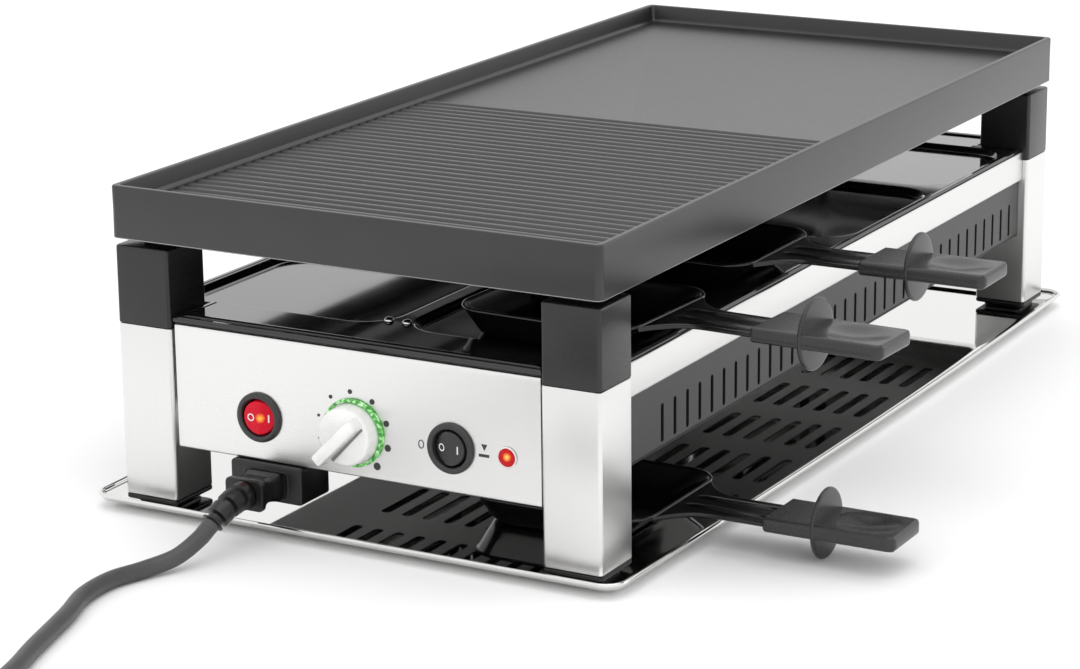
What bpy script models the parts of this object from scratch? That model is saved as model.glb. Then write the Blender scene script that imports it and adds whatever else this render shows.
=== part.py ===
"""Table raclette grill for eight: griddle on four legs over a pan shelf, on a drip tray.

Metres, +Z up, the control panel faces -Y, the grill is long along Y.
Every piece is placed from the middle of the grill on the table and carried by one empty,
which sets the middle of the whole part's box on the world's origin.
"""

import math

import bmesh
import bpy
from mathutils import Matrix, Vector

MM = 0.001

# Driving sizes of the grill
grill_width = 265.0 * MM
grill_length = 563.0 * MM
grill_height = 162.0 * MM
seat_gap = 0.3 * MM
overrun = 2.0 * MM

# Drip tray and its rubber feet
foot_radius = 9.0 * MM
foot_height = 1.7 * MM
foot_chamfer = 0.4 * MM
tray_sheet = 1.0 * MM
tray_overhang = 13.1 * MM
tray_end_overhang = 7.5 * MM
tray_shift_x = -2.0 * MM
tray_bow = 3.8 * MM
tray_corner = 11.0 * MM
tray_inner_corner_share = 0.4
tray_border = 14.0 * MM
tray_rim_height = 5.2 * MM
tray_bead = 2.0 * MM
tray_floor_z = foot_height + seat_gap + tray_sheet

# Legs
leg_side = 30.5 * MM
leg_inset = 1.0 * MM
leg_corner = 1.6 * MM
leg_wall = 1.2 * MM
leg_neck = 2.2 * MM
leg_neck_inset = 4.0 * MM
leg_flange = 2.4 * MM
leg_plug_depth = 9.0 * MM
leg_fit = 0.3 * MM
cap_height = 38.4 * MM
cap_chamfer = 0.8 * MM
cap_spigot = 10.0 * MM
cap_seat_side = 17.0 * MM
cap_seat_height = 2.7 * MM
cap_seat_shift = 3.0 * MM

# Griddle
griddle_skirt = 25.8 * MM
griddle_wall = 3.4 * MM
griddle_corner = 4.0 * MM
griddle_draft = 0.8 * MM
griddle_depth = 10.0 * MM
griddle_floor = 5.0 * MM
griddle_edge = 0.6 * MM
rib_pitch = 8.3 * MM
rib_front_margin = 15.0 * MM
rib_height = 1.3 * MM
rib_top_share = 0.28
rib_foot_share = 0.62
rib_end_gap = 1.5 * MM
rib_sink = 0.5 * MM

# Housing between the legs
housing_sheet = 1.0 * MM
panel_recess = 2.2 * MM
panel_end_gap = 1.2 * MM
panel_bottom_z = 35.4 * MM
panel_flange = 8.0 * MM
side_recess = 3.5 * MM
side_end_gap = 0.5 * MM
rail_height = 17.0 * MM
rail_flange = 5.0 * MM
rail_ledge_drop = 2.1 * MM
grille_step = 2.0 * MM
slot_width = 2.4 * MM
slot_height_share = 0.596
slot_foot = 1.4 * MM
slot_pitch = 13.1 * MM
slot_first = 39.8 * MM
base_z = 48.5 * MM
base_slot_width = 5.0 * MM
base_slot_length = 44.0 * MM
base_slot_pitch = 12.7 * MM
base_slot_columns = 14
base_margin = 4.0 * MM

# Pan shelf
deck_share = 100 / 162
deck_sheet = 1.2 * MM
shelf_overhang = 0.5 * MM
shelf_bead = 3.4 * MM
shelf_bead_rise = 0.6 * MM
shelf_leg_gap = 0.6 * MM
well_depth = 3.2 * MM
well_slope = 3.4 * MM
well_corner = 24.0 * MM
well_rib = 7.0 * MM
well_edge = 3.9 * MM
well_end_edge = 3.4 * MM
pan_leg_gap = 3.75 * MM
station_count = 4
shelf_screw_radius = 2.7 * MM
shelf_screw_height = 1.8 * MM
shelf_screw_spread = 5.0 * MM
shelf_screw_from_front = 44.5 * MM

# Raclette pans
pan_length = 96.0 * MM
pan_width = 87.5 * MM
pan_rim_x = 126.0 * MM
pan_corner = 17.0 * MM
pan_height = 14.9 * MM
pan_sheet = 1.2 * MM
pan_taper = 6.0 * MM
pan_stem_taper = 15.0 * MM
pan_foot_round = 3.0 * MM
pan_lip = 1.6 * MM
stem_length = 48.5 * MM
stem_width = 28.0 * MM
stem_root = 60.0 * MM
stem_thickness = 2.4 * MM
stem_drop = 0.6 * MM
stem_sink = 1.0 * MM
stem_rib_width = 2.0 * MM
stem_rib_height = 1.0 * MM
stem_rib_spread = 16.0 * MM
stem_rib_margin = 9.0 * MM
tang_width = 12.0 * MM
tang_length = 24.0 * MM
handle_length = 65.5 * MM
handle_width = 33.5 * MM
handle_thickness = 7.0 * MM
handle_corner = 3.0 * MM
handle_edge = 1.2 * MM
handle_rise = 4.3 * MM
guard_radius = 17.0 * MM
guard_thickness = 2.4 * MM
guard_from_stem = 25.0 * MM
dish_length = 30.0 * MM
dish_width = 23.0 * MM
dish_depth = 2.0 * MM
dish_margin = 3.0 * MM
lower_pan_shift_x = 1.2 * MM
lower_pan_shift_y = 13.0 * MM
middle_pan_shift_x = -5.2 * MM
middle_pan_shift_y = -1.3 * MM
front_pan_turn = math.radians(-2.5)
front_pan_pivot_x = 207.0 * MM

# Heating element and its brackets
element_radius = 3.2 * MM
element_drop = 3.4 * MM
element_run_x = 90.0 * MM
element_front_margin = 56.0 * MM
element_rear_margin = 39.5 * MM
element_inner_margin = 92.0 * MM
element_bend = 14.0 * MM
element_post_x = 5.5 * MM
element_hole_gap = 0.5 * MM
terminal_length = 34.0 * MM
terminal_width = 18.0 * MM
terminal_height = 13.0 * MM
terminal_z = 62.0 * MM
terminal_edge = 1.0 * MM
terminal_post_width = 7.0 * MM
bracket_strip = 1.5 * MM
bracket_depth = 8.0 * MM
bracket_stem = 4.0 * MM
bracket_span = 204.0 * MM
bracket_front_y = -118.0 * MM
bracket_rear_y = 118.0 * MM

# Controls on the front panel
control_z = 57.0 * MM
switch_x = 52.6 * MM
lamp_x = 82.3 * MM
bezel_radius = 12.25 * MM
bezel_height = 2.2 * MM
bezel_round = 0.8 * MM
bezel_bore = 9.1 * MM
bezel_bore_depth = 8.5 * MM
barrel_radius = 10.6 * MM
barrel_depth = 17.0 * MM
barrel_gap = 0.35 * MM
rocker_radius = 8.2 * MM
rocker_front = 3.4 * MM
rocker_back = 2.6 * MM
rocker_pivot = 1.4 * MM
rocker_tilt = math.radians(9.0)
rocker_pin_radius = 1.0 * MM
rocker_pin_gap = 0.35 * MM
rocker_pin_end = 0.7 * MM
ring_outer = 17.0 * MM
ring_inner = 15.1 * MM
ring_height = 2.6 * MM
knob_radius = 14.6 * MM
knob_height = 6.6 * MM
knob_back_gap = 0.7 * MM
knob_edge = 0.8 * MM
grip_width = 8.4 * MM
grip_top_width = 6.6 * MM
grip_height = 9.5 * MM
grip_pointer = 17.4 * MM
grip_tail = 7.5 * MM
grip_sink = 2.0 * MM
grip_angle = math.radians(225.0)
spindle_radius = 3.0 * MM
spindle_length = 16.0 * MM
spindle_hole_gap = 1.0 * MM
thermostat_side = 30.0 * MM
thermostat_depth = 18.0 * MM
thermostat_edge = 1.5 * MM
bushing_radius = 5.0 * MM
bushing_length = 7.0 * MM
bushing_gap = 0.4 * MM
lamp_radius = 4.7 * MM
lamp_rise = 2.6 * MM
lamp_rim = 1.0 * MM
lamp_barrel = 3.6 * MM
lamp_depth = 16.0 * MM

# Appliance inlet, its connector and the mains cord
inlet_x = -48.5 * MM
inlet_half_width = 20.0 * MM
inlet_depth = 24.0 * MM
inlet_proud = 2.5 * MM
inlet_bottom_z = 16.7 * MM
inlet_edge = 0.8 * MM
inlet_z = 25.3 * MM
socket_half_width = 12.8 * MM
socket_half_height = 7.0 * MM
socket_depth = 17.0 * MM
socket_corner = 2.6 * MM
cavity_half_width = 11.0 * MM
cavity_half_height = 6.0 * MM
cavity_depth = 14.5 * MM
cavity_corner = 2.4 * MM
pin_width = 4.0 * MM
pin_thickness = 2.0 * MM
pin_length = 12.5 * MM
pin_spread = 7.0 * MM
pin_rise = 1.2 * MM
plug_in_half_width = 10.3 * MM
plug_in_half_height = 5.5 * MM
plug_in_depth = 13.5 * MM
plug_slot_gap = 0.5 * MM
connector_length = 15.8 * MM
connector_half_width = 9.9 * MM
connector_half_height = 7.0 * MM
connector_waist = 1.3 * MM
connector_shoulder_share = 0.25
connector_waist_share = 0.55
connector_flange = 3.4 * MM
connector_flange_half_width = 10.3 * MM
connector_flange_half_height = 7.5 * MM
connector_corner = 2.2 * MM
cord_diameter = 8.2 * MM
relief_length = 22.0 * MM
relief_radius = 7.0 * MM
relief_end_radius = 5.6 * MM
relief_ring = 0.8 * MM
relief_rings = 3
relief_droop = 7.6 * MM
relief_swing = 2.6 * MM
coil_middle = 92.0 * MM
coil_turns = 2.25
coil_pitch = 9.4 * MM
coil_climb_draw = 1.3 * MM
coil_layer_step = 9.0 * MM
coil_tail = 30.0 * MM
coil_tail_rise = 5.5 * MM
coil_points_per_turn = 24
cord_samples = 5
coil_x = 22.0 * MM
coil_y = -568.0 * MM
coil_start_angle = math.radians(172.0)
plug_radius = 18.5 * MM
plug_length = 40.0 * MM
plug_neck_radius = 7.0 * MM
plug_neck = 14.0 * MM
plug_flat = 2.6 * MM
mains_pin_radius = 2.4 * MM
mains_pin_length = 19.0 * MM
mains_pin_spread = 9.5 * MM

# The cord's route from the strain relief to the coil, by hand, in the grill's own frame
cord_route = (
    (-57.5 * MM, -343.0 * MM, 6.6 * MM),
    (-65.0 * MM, -359.0 * MM, 4.2 * MM),
    (-70.3 * MM, -377.0 * MM, 4.2 * MM),
    (-68.6 * MM, -399.0 * MM, 4.2 * MM),
    (-60.0 * MM, -423.0 * MM, 4.2 * MM),
    (-48.8 * MM, -460.0 * MM, 4.2 * MM),
    (-40.6 * MM, -484.0 * MM, 4.2 * MM),
    (-35.2 * MM, -508.0 * MM, 4.2 * MM),
)

# Places worked out from the sizes above
half_width = grill_width / 2
half_length = grill_length / 2
leg_outer_x = half_width - leg_inset
leg_outer_y = half_length - leg_inset
leg_inner_x = leg_outer_x - leg_side
leg_inner_y = leg_outer_y - leg_side
leg_x = leg_outer_x - leg_side / 2
leg_y = leg_outer_y - leg_side / 2
skirt_z = grill_height - griddle_skirt
griddle_floor_z = grill_height - griddle_depth
griddle_under_z = griddle_floor_z - griddle_floor
cap_top_z = skirt_z - seat_gap - cap_seat_height
cap_bottom_z = cap_top_z - cap_height
sleeve_bottom_z = tray_floor_z + seat_gap + leg_neck + leg_flange + seat_gap
sleeve_top_z = cap_bottom_z - seat_gap
panel_face_y = -leg_outer_y + panel_recess
panel_half_x = leg_inner_x - panel_end_gap
deck_top = grill_height * deck_share
bead_top_z = deck_top + shelf_bead_rise
bead_bottom_z = bead_top_z - shelf_bead
panel_top_z = bead_bottom_z - seat_gap
panel_height = panel_top_z - panel_bottom_z
rail_face_x = leg_outer_x - side_recess
rail_half_y = leg_inner_y - side_end_gap
rail_top_z = panel_top_z + rail_ledge_drop
rail_bottom_z = rail_top_z - rail_height
grille_face_x = rail_face_x - grille_step
base_top_z = base_z + housing_sheet
grille_bottom_z = base_top_z + seat_gap
grille_top_z = rail_bottom_z - seat_gap
shelf_half_x = rail_face_x - housing_sheet - seat_gap
shelf_half_y = -panel_face_y + shelf_overhang
well_floor_z = deck_top - well_depth
deck_bottom_z = deck_top - deck_sheet
pan_centre_x = pan_rim_x - pan_length / 2
pan_floor_z = well_floor_z + seat_gap
handle_x = pan_rim_x + stem_length
element_z = griddle_under_z - element_drop - element_radius
bracket_top_z = element_z - element_radius - seat_gap
inlet_face_y = panel_face_y - inlet_proud
relief_y = inlet_face_y - connector_length - connector_flange - seat_gap
station_span = 2 * (leg_inner_y - pan_width / 2 - pan_leg_gap)
station_pitch = station_span / (station_count - 1)
station_ys = [station_pitch * (n - (station_count - 1) / 2) for n in range(station_count)]
tray_half_x = half_width + tray_overhang
tray_half_y = half_length + tray_end_overhang
part_right_x = handle_x + lower_pan_shift_x + handle_length
part_left_x = tray_shift_x - (tray_half_x + tray_bow)
knob_front_y = panel_face_y - knob_back_gap - knob_height - grip_height
part_front_y = min(knob_front_y, -tray_half_y)
frame_shift_x = (part_right_x + part_left_x) / 2
frame_shift_y = (tray_half_y + part_front_y) / 2


# Scene and collections

for old in list(bpy.data.objects):
    bpy.data.objects.remove(old)
parts = bpy.data.collections.new("raclette_grill")
bpy.context.scene.collection.children.link(parts)
cutters = bpy.data.collections.new("cutters")
bpy.context.scene.collection.children.link(cutters)
grill = bpy.data.objects.new("grill_frame", None)
grill.location = (-frame_shift_x, -frame_shift_y, 0)
parts.objects.link(grill)


def finish(name, colour, roughness, metallic=0.0):
    """A Principled material with the part's plain colour."""
    material = bpy.data.materials.new(name)
    material.use_nodes = True
    shader = material.node_tree.nodes["Principled BSDF"]
    shader.inputs["Base Color"].default_value = (*colour, 1.0)
    shader.inputs["Roughness"].default_value = roughness
    shader.inputs["Metallic"].default_value = metallic
    material.diffuse_color = (*colour, 1.0)
    return material


brushed_steel = finish("brushed_steel", (0.62, 0.61, 0.58), 0.32, 1.0)
polished_steel = finish("polished_steel", (0.80, 0.80, 0.79), 0.06, 1.0)
black_enamel = finish("black_enamel", (0.010, 0.010, 0.011), 0.10)
dark_sheet = finish("dark_sheet", (0.075, 0.073, 0.070), 0.45, 0.6)
griddle_coating = finish("griddle_coating", (0.066, 0.063, 0.060), 0.48)
pan_coating = finish("pan_coating", (0.012, 0.012, 0.013), 0.30)
black_plastic = finish("black_plastic", (0.030, 0.030, 0.031), 0.42)
handle_plastic = finish("handle_plastic", (0.085, 0.083, 0.082), 0.50)
black_rubber = finish("black_rubber", (0.025, 0.025, 0.026), 0.62)
white_plastic = finish("white_plastic", (0.80, 0.80, 0.78), 0.30)
green_glow = finish("green_glow", (0.12, 0.62, 0.10), 0.25)
red_glow = finish("red_glow", (0.80, 0.03, 0.02), 0.22)
ceramic = finish("ceramic", (0.72, 0.69, 0.62), 0.60)
heater_steel = finish("heater_steel", (0.20, 0.18, 0.16), 0.50, 0.8)
brass = finish("brass", (0.72, 0.52, 0.22), 0.28, 1.0)


# Ways of making a solid

def add_object(name, mesh, material, location=(0, 0, 0), collection=parts, parent=grill):
    """Puts a mesh in the scene as a named object carried by the grill's frame."""
    item = bpy.data.objects.new(name, mesh)
    collection.objects.link(item)
    item.parent = parent
    item.location = location
    if material is not None:
        mesh.materials.clear()
        mesh.materials.append(material)
    return item


def outward(bm):
    """Turns the faces the same way round, then out if the signed volume says inward."""
    bmesh.ops.recalc_face_normals(bm, faces=bm.faces)
    if bm.calc_volume(signed=True) < 0:
        bmesh.ops.reverse_faces(bm, faces=bm.faces)
    return bm


def mesh_from(bm, name, smooth_angle=math.radians(35)):
    """A mesh from a bmesh, its faces turned outward and its round stretches smooth."""
    outward(bm)
    mesh = bpy.data.meshes.new(name)
    bm.to_mesh(mesh)
    bm.free()
    mesh.shade_smooth()
    mesh.set_sharp_from_angle(angle=smooth_angle)
    return mesh


def loft(rings, closed=False):
    """Joins rings of equally many points; capped at both ends, or closed into a loop."""
    bm = bmesh.new()
    rows = [[bm.verts.new(point) for point in ring] for ring in rings]
    count = len(rows[0])
    pairs = list(zip(rows, rows[1:]))
    if closed:
        pairs.append((rows[-1], rows[0]))
    for low, high in pairs:
        for n in range(count):
            m = (n + 1) % count
            bm.faces.new((low[n], low[m], high[m], high[n]))
    if not closed:
        bm.faces.new(rows[0])
        bm.faces.new(rows[-1])
    return bm


def rounded_ring(half_x, half_y, corner, z, centre=(0, 0), steps=4):
    """The points of a rectangle with round corners at one height."""
    points = []
    turns = ((1, 1, 0), (-1, 1, 1), (-1, -1, 2), (1, -1, 3))
    for side_x, side_y, quarter in turns:
        for step in range(steps + 1):
            angle = math.pi / 2 * (quarter + step / steps)
            x = side_x * (half_x - corner) + corner * math.cos(angle)
            y = side_y * (half_y - corner) + corner * math.sin(angle)
            points.append(Vector((centre[0] + x, centre[1] + y, z)))
    return points


def box_bm(size, centre=(0, 0, 0)):
    """A box of the given size about a centre."""
    bm = bmesh.new()
    place = Matrix.Translation(Vector(centre)) @ Matrix.Diagonal(Vector((*size, 1)))
    bmesh.ops.create_cube(bm, size=1, matrix=place)
    return bm


def cylinder_bm(radius, start, end, segments=24):
    """A cylinder between two points."""
    start, end = Vector(start), Vector(end)
    line = end - start
    turn = line.to_track_quat("Z", "Y").to_matrix().to_4x4()
    bm = bmesh.new()
    place = Matrix.Translation((start + end) / 2) @ turn
    bmesh.ops.create_cone(
        bm, cap_ends=True, segments=segments, radius1=radius, radius2=radius,
        depth=line.length, matrix=place,
    )
    return bm


def merge_bms(pieces):
    """Several separate bodies in one bmesh, to cut or to join in one go."""
    whole = bmesh.new()
    for piece in pieces:
        mesh = bpy.data.meshes.new("piece")
        outward(piece).to_mesh(mesh)
        piece.free()
        whole.from_mesh(mesh)
        bpy.data.meshes.remove(mesh)
    return whole


def boolean(target, tool_bm, operation="DIFFERENCE"):
    """Cuts or joins with a tool that is kept, hidden, among the cutters."""
    name = f"{target.name}_{operation.lower()}"
    tool = add_object(name, mesh_from(tool_bm, name), None, target.location, cutters)
    tool.rotation_euler = target.rotation_euler
    tool.hide_render = True
    tool.display_type = "WIRE"
    change = target.modifiers.new(operation.lower(), "BOOLEAN")
    change.operation = operation
    change.solver = "EXACT"
    change.object = tool
    return tool


def flat_solid(name, outline, thickness):
    """A flat outline as a filled 2D curve, extruded to its thickness about z = 0."""
    curve = bpy.data.curves.new(name, "CURVE")
    curve.dimensions = "2D"
    curve.fill_mode = "BOTH"
    curve.extrude = thickness / 2
    spline = curve.splines.new("POLY")
    spline.points.add(len(outline) - 1)
    for point, (x, y) in zip(spline.points, outline):
        point.co = (x, y, 0, 1)
    spline.use_cyclic_u = True
    return mesh_from_curve(curve, name)


def mesh_from_curve(curve, name, smooth_angle=math.radians(35)):
    """A curve turned into a closed mesh with its caps welded."""
    holder = bpy.data.objects.new(name + "_curve", curve)
    cutters.objects.link(holder)
    graph = bpy.context.evaluated_depsgraph_get()
    mesh = bpy.data.meshes.new_from_object(holder.evaluated_get(graph))
    bpy.data.objects.remove(holder)
    bm = bmesh.new()
    bm.from_mesh(mesh)
    weld = 0.001 * MM
    bmesh.ops.remove_doubles(bm, verts=bm.verts, dist=weld)
    bpy.data.meshes.remove(mesh)
    return mesh_from(bm, name, smooth_angle)


def bm_of(mesh):
    """A bmesh copy of a mesh that is not kept."""
    bm = bmesh.new()
    bm.from_mesh(mesh)
    bpy.data.meshes.remove(mesh)
    return bm


def tube_mesh(name, points, radius, resolution):
    """A round tube along points, with filled caps."""
    curve = bpy.data.curves.new(name, "CURVE")
    curve.dimensions = "3D"
    curve.bevel_depth = radius
    curve.bevel_resolution = resolution
    curve.use_fill_caps = True
    spline = curve.splines.new("POLY")
    spline.points.add(len(points) - 1)
    for point, place in zip(spline.points, points):
        point.co = (*place, 1)
    return mesh_from_curve(curve, name, math.radians(60))


def turned(name, profile, material, location, axis="Y", steps=32):
    """A profile of (radius, height) from its top down, turned about the given axis."""
    bm = bmesh.new()
    verts = [bm.verts.new((radius, 0, height)) for radius, height in profile]
    for a, b in zip(verts, verts[1:]):
        bm.edges.new((a, b))
    mesh = bpy.data.meshes.new(name)
    bm.to_mesh(mesh)
    bm.free()
    item = add_object(name, mesh, material, location)
    screw = item.modifiers.new("turn", "SCREW")
    screw.angle = math.tau
    screw.steps = steps
    screw.render_steps = steps
    screw.use_merge_vertices = True
    screw.merge_threshold = 0.01 * MM
    screw.use_smooth_shade = True
    if axis == "Y":
        item.rotation_euler = (math.radians(90), 0, 0)
    return item


def smooth_path(points, samples):
    """A Catmull-Rom curve through the points; its first and last stretches stay straight."""
    whole = [Vector(p) for p in points]
    path = [whole[0]]
    for n in range(1, len(whole) - 2):
        a, b, c, d = whole[n - 1:n + 3]
        for step in range(samples):
            t = step / samples
            path.append(0.5 * (
                2 * b + (c - a) * t + (2 * a - 5 * b + 4 * c - d) * t ** 2
                + (3 * b - a - 3 * c + d) * t ** 3
            ))
    path.extend(whole[-2:])
    return path


def rounded_path(points, radius, steps):
    """A bent path: straight runs with each corner turned as an arc."""
    corners = [Vector(p) for p in points]
    path = [corners[0]]
    for before, corner, after in zip(corners, corners[1:], corners[2:]):
        back = (before - corner).normalized()
        ahead = (after - corner).normalized()
        half_angle = back.angle(ahead) / 2
        reach = radius / math.tan(half_angle)
        centre = corner + (back + ahead).normalized() * (radius / math.sin(half_angle))
        start = corner + back * reach - centre
        end = corner + ahead * reach - centre
        sweep = start.angle(end)
        for step in range(steps + 1):
            share = step / steps
            arm = (start * math.sin((1 - share) * sweep) + end * math.sin(share * sweep))
            path.append(centre + arm / math.sin(sweep))
    path.append(corners[-1])
    return path


# Drip tray: a sheet with a sloped border and a rolled bead, its long sides slightly bowed

def tray_ring(inset, z, steps=5, side_steps=6):
    """The tray's outline, drawn in by an inset, at one height."""
    half_x = tray_half_x - inset
    half_y = tray_half_y - inset
    corner = max(tray_corner - inset, tray_corner * tray_inner_corner_share)
    points = rounded_ring(half_x, half_y, corner, z, (tray_shift_x, 0), steps)
    straight = half_y - corner
    bowed = []
    for n, point in enumerate(points):
        bowed.append(point)
        right_side_ends = n == len(points) - 1
        left_side_starts = n == 2 * (steps + 1) - 1
        if right_side_ends or left_side_starts:
            side = 1 if right_side_ends else -1
            for step in range(1, side_steps):
                share = 2 * step / side_steps - 1
                y = side * straight * share
                x = tray_shift_x + side * (half_x + tray_bow * (1 - share ** 2))
                bowed.append(Vector((x, y, z)))
    return bowed


def drip_tray():
    rim_z = tray_floor_z + tray_rim_height
    bead_r = tray_bead / 2
    slope_share = 0.62
    shoulder_share = 0.45
    groove_share = 0.50
    outer_slope_share = 1.7
    groove_inset_share = 1.02
    outer_slope = tray_bead * outer_slope_share
    groove = tray_bead * groove_inset_share
    top = [
        (tray_border, tray_floor_z),
        (tray_border * slope_share, tray_floor_z),
        (outer_slope, tray_floor_z + tray_rim_height * shoulder_share),
        (groove, tray_floor_z + tray_rim_height * groove_share),
    ]
    bead = []
    for degrees in (150, 100, 50, 0, -60):
        angle = math.radians(degrees)
        bead.append((bead_r - bead_r * math.cos(angle), rim_z - bead_r + bead_r * math.sin(angle)))
    under = [(inset, z - tray_sheet) for inset, z in reversed(top)]
    section = top + bead + under
    rings = [tray_ring(inset, z) for inset, z in section]
    add_object("drip_tray", mesh_from(loft(rings), "drip_tray"), polished_steel)


# Legs: rubber foot, black foot plug, steel sleeve and black cap with the griddle's seat

def leg_ring(half, z, centre=(0, 0), corner=leg_corner):
    return rounded_ring(half, half, corner, z, centre, steps=2)


def leg_parts():
    half = leg_side / 2
    inner = half - leg_wall
    plug = inner - leg_fit
    flange_z = tray_floor_z + seat_gap + leg_neck
    spots = (
        ("front_left", -1, -1), ("front_right", 1, -1),
        ("rear_left", -1, 1), ("rear_right", 1, 1),
    )
    for name, side_x, side_y in spots:
        place = (side_x * leg_x, side_y * leg_y, 0)
        turned(
            f"rubber_foot_{name}",
            [
                (0, foot_height), (foot_radius, foot_height),
                (foot_radius, foot_chamfer), (foot_radius - foot_chamfer, 0), (0, 0),
            ],
            black_rubber, place, axis="Z", steps=16,
        )
        rings = [
            leg_ring(half - leg_neck_inset, tray_floor_z + seat_gap),
            leg_ring(half - leg_neck_inset, flange_z),
            leg_ring(half, flange_z),
            leg_ring(half, flange_z + leg_flange),
            leg_ring(plug, flange_z + leg_flange),
            leg_ring(plug, flange_z + leg_flange + leg_plug_depth),
        ]
        label = f"leg_foot_{name}"
        add_object(label, mesh_from(loft(rings), label), black_plastic, place)
        rings = [
            leg_ring(half, sleeve_bottom_z),
            leg_ring(half, sleeve_top_z),
            leg_ring(inner, sleeve_top_z),
            leg_ring(inner, sleeve_bottom_z),
        ]
        label = f"leg_sleeve_{name}"
        add_object(label, mesh_from(loft(rings, closed=True), label), brushed_steel, place)
        seat = (-side_x * cap_seat_shift, -side_y * cap_seat_shift)
        rings = [
            leg_ring(plug, cap_bottom_z - cap_spigot),
            leg_ring(plug, cap_bottom_z),
            leg_ring(half, cap_bottom_z),
            leg_ring(half, cap_top_z - cap_chamfer),
            leg_ring(half - cap_chamfer, cap_top_z),
            leg_ring(cap_seat_side / 2, cap_top_z, seat),
            leg_ring(cap_seat_side / 2, cap_top_z + cap_seat_height, seat),
        ]
        label = f"leg_cap_{name}"
        add_object(label, mesh_from(loft(rings), label), black_plastic, place)


# Griddle: one casting with a deep skirt, a ribbed front half and bosses over the legs

def griddle():
    under = half_width - griddle_wall
    inner_corner = griddle_corner - griddle_edge

    def ring(inset, z):
        corner = max(griddle_corner - inset, inner_corner / 2)
        return rounded_ring(half_width - inset, half_length - inset, corner, z, steps=3)

    rings = [
        ring(griddle_wall + griddle_draft, griddle_under_z),
        ring(griddle_wall, skirt_z),
        ring(griddle_edge, skirt_z),
        ring(0, skirt_z + griddle_edge),
        ring(0, grill_height - griddle_edge),
        ring(griddle_edge, grill_height),
        ring(griddle_wall - griddle_edge, grill_height),
        ring(griddle_wall, grill_height - griddle_edge),
        ring(griddle_wall + griddle_draft, griddle_floor_z),
    ]
    item = add_object("griddle", mesh_from(loft(rings), "griddle"), griddle_coating)
    outline = []
    rib_count = int((half_length - rib_front_margin) / rib_pitch)
    reach = rib_pitch * rib_count
    outline.append((-reach, -rib_sink))
    for n in range(rib_count):
        start = -reach + n * rib_pitch
        foot = rib_pitch * (1 - rib_foot_share) / 2
        crest = rib_pitch * (1 - rib_top_share) / 2
        outline.append((start + foot, rib_sink / 4))
        outline.append((start + crest, rib_height))
        outline.append((start + rib_pitch - crest, rib_height))
        outline.append((start + rib_pitch - foot, rib_sink / 4))
    outline.append((0, -rib_sink))
    width = 2 * (under - griddle_draft - rib_end_gap)
    ribs = bm_of(flat_solid("ribs", outline, width))
    turn = Matrix(((0, 0, 1, 0), (1, 0, 0, 0), (0, 1, 0, 0), (0, 0, 0, 1)))
    bmesh.ops.transform(ribs, matrix=Matrix.Translation((0, 0, griddle_floor_z)) @ turn, verts=ribs.verts)
    boolean(item, ribs, "UNION")
    bosses = []
    boss_height = griddle_under_z - skirt_z + griddle_floor / 2
    for side_x in (-1, 1):
        for side_y in (-1, 1):
            centre = (
                side_x * (leg_x - cap_seat_shift),
                side_y * (leg_y - cap_seat_shift),
                skirt_z + boss_height / 2,
            )
            bosses.append(box_bm((cap_seat_side, cap_seat_side, boss_height), centre))
    boolean(item, merge_bms(bosses), "UNION").name = "griddle_bosses"


# Housing: bent sheet panels between the legs, slotted side grilles and a slotted base

def channel_outline(height, flange, drop):
    """The section of a sheet turned inward at its foot, with a ledge a drop below its top."""
    sheet = housing_sheet
    ledge = height - drop
    above = [(sheet, height), (sheet, ledge)] if drop > 0 else []
    return [
        (0, 0), (0, height), *above, (flange, ledge), (flange, ledge - sheet),
        (sheet, ledge - sheet), (sheet, sheet), (flange, sheet), (flange, 0),
    ]


def channel(name, length, height, flange, face, along, drop=0):
    """A bent sheet standing on z = 0: its face looks along -Y or, for sides, along X."""
    bm = bm_of(flat_solid(name, channel_outline(height, flange, drop), length))
    if along == "X":
        turn = Matrix(((0, 0, 1, 0), (face, 0, 0, 0), (0, 1, 0, 0), (0, 0, 0, 1)))
    else:
        turn = Matrix(((face, 0, 0, 0), (0, 0, 1, 0), (0, 1, 0, 0), (0, 0, 0, 1)))
    bmesh.ops.transform(bm, matrix=turn, verts=bm.verts)
    return mesh_from(bm, name)


def end_panels():
    length = 2 * panel_half_x
    mesh = channel("front_panel", length, panel_height, panel_flange, 1, "X")
    front = add_object("front_panel", mesh, brushed_steel, (0, panel_face_y, panel_bottom_z))
    holes = []
    bores = (
        (-switch_x, barrel_radius + barrel_gap),
        (0, spindle_radius + spindle_hole_gap),
        (switch_x, barrel_radius + barrel_gap),
        (lamp_x, lamp_barrel + barrel_gap),
    )
    rise = control_z - panel_bottom_z
    for x, radius in bores:
        start = (x, -overrun, rise)
        holes.append(cylinder_bm(radius, start, (x, housing_sheet + overrun, rise)))
    boolean(front, merge_bms(holes))
    mesh = channel("rear_panel", length, panel_height, panel_flange, -1, "X")
    add_object("rear_panel", mesh, brushed_steel, (0, -panel_face_y, panel_bottom_z))


def slot_bm(width, length, thickness, centre):
    """A slot cutter with eased ends: long along its local Y."""
    round_share = 0.98
    corner = width / 2 * round_share
    half = (width / 2, length / 2)
    rings = [
        rounded_ring(*half, corner, -thickness / 2, steps=1),
        rounded_ring(*half, corner, thickness / 2, steps=1),
    ]
    bm = loft(rings)
    bmesh.ops.translate(bm, vec=Vector(centre), verts=bm.verts)
    return bm


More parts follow.
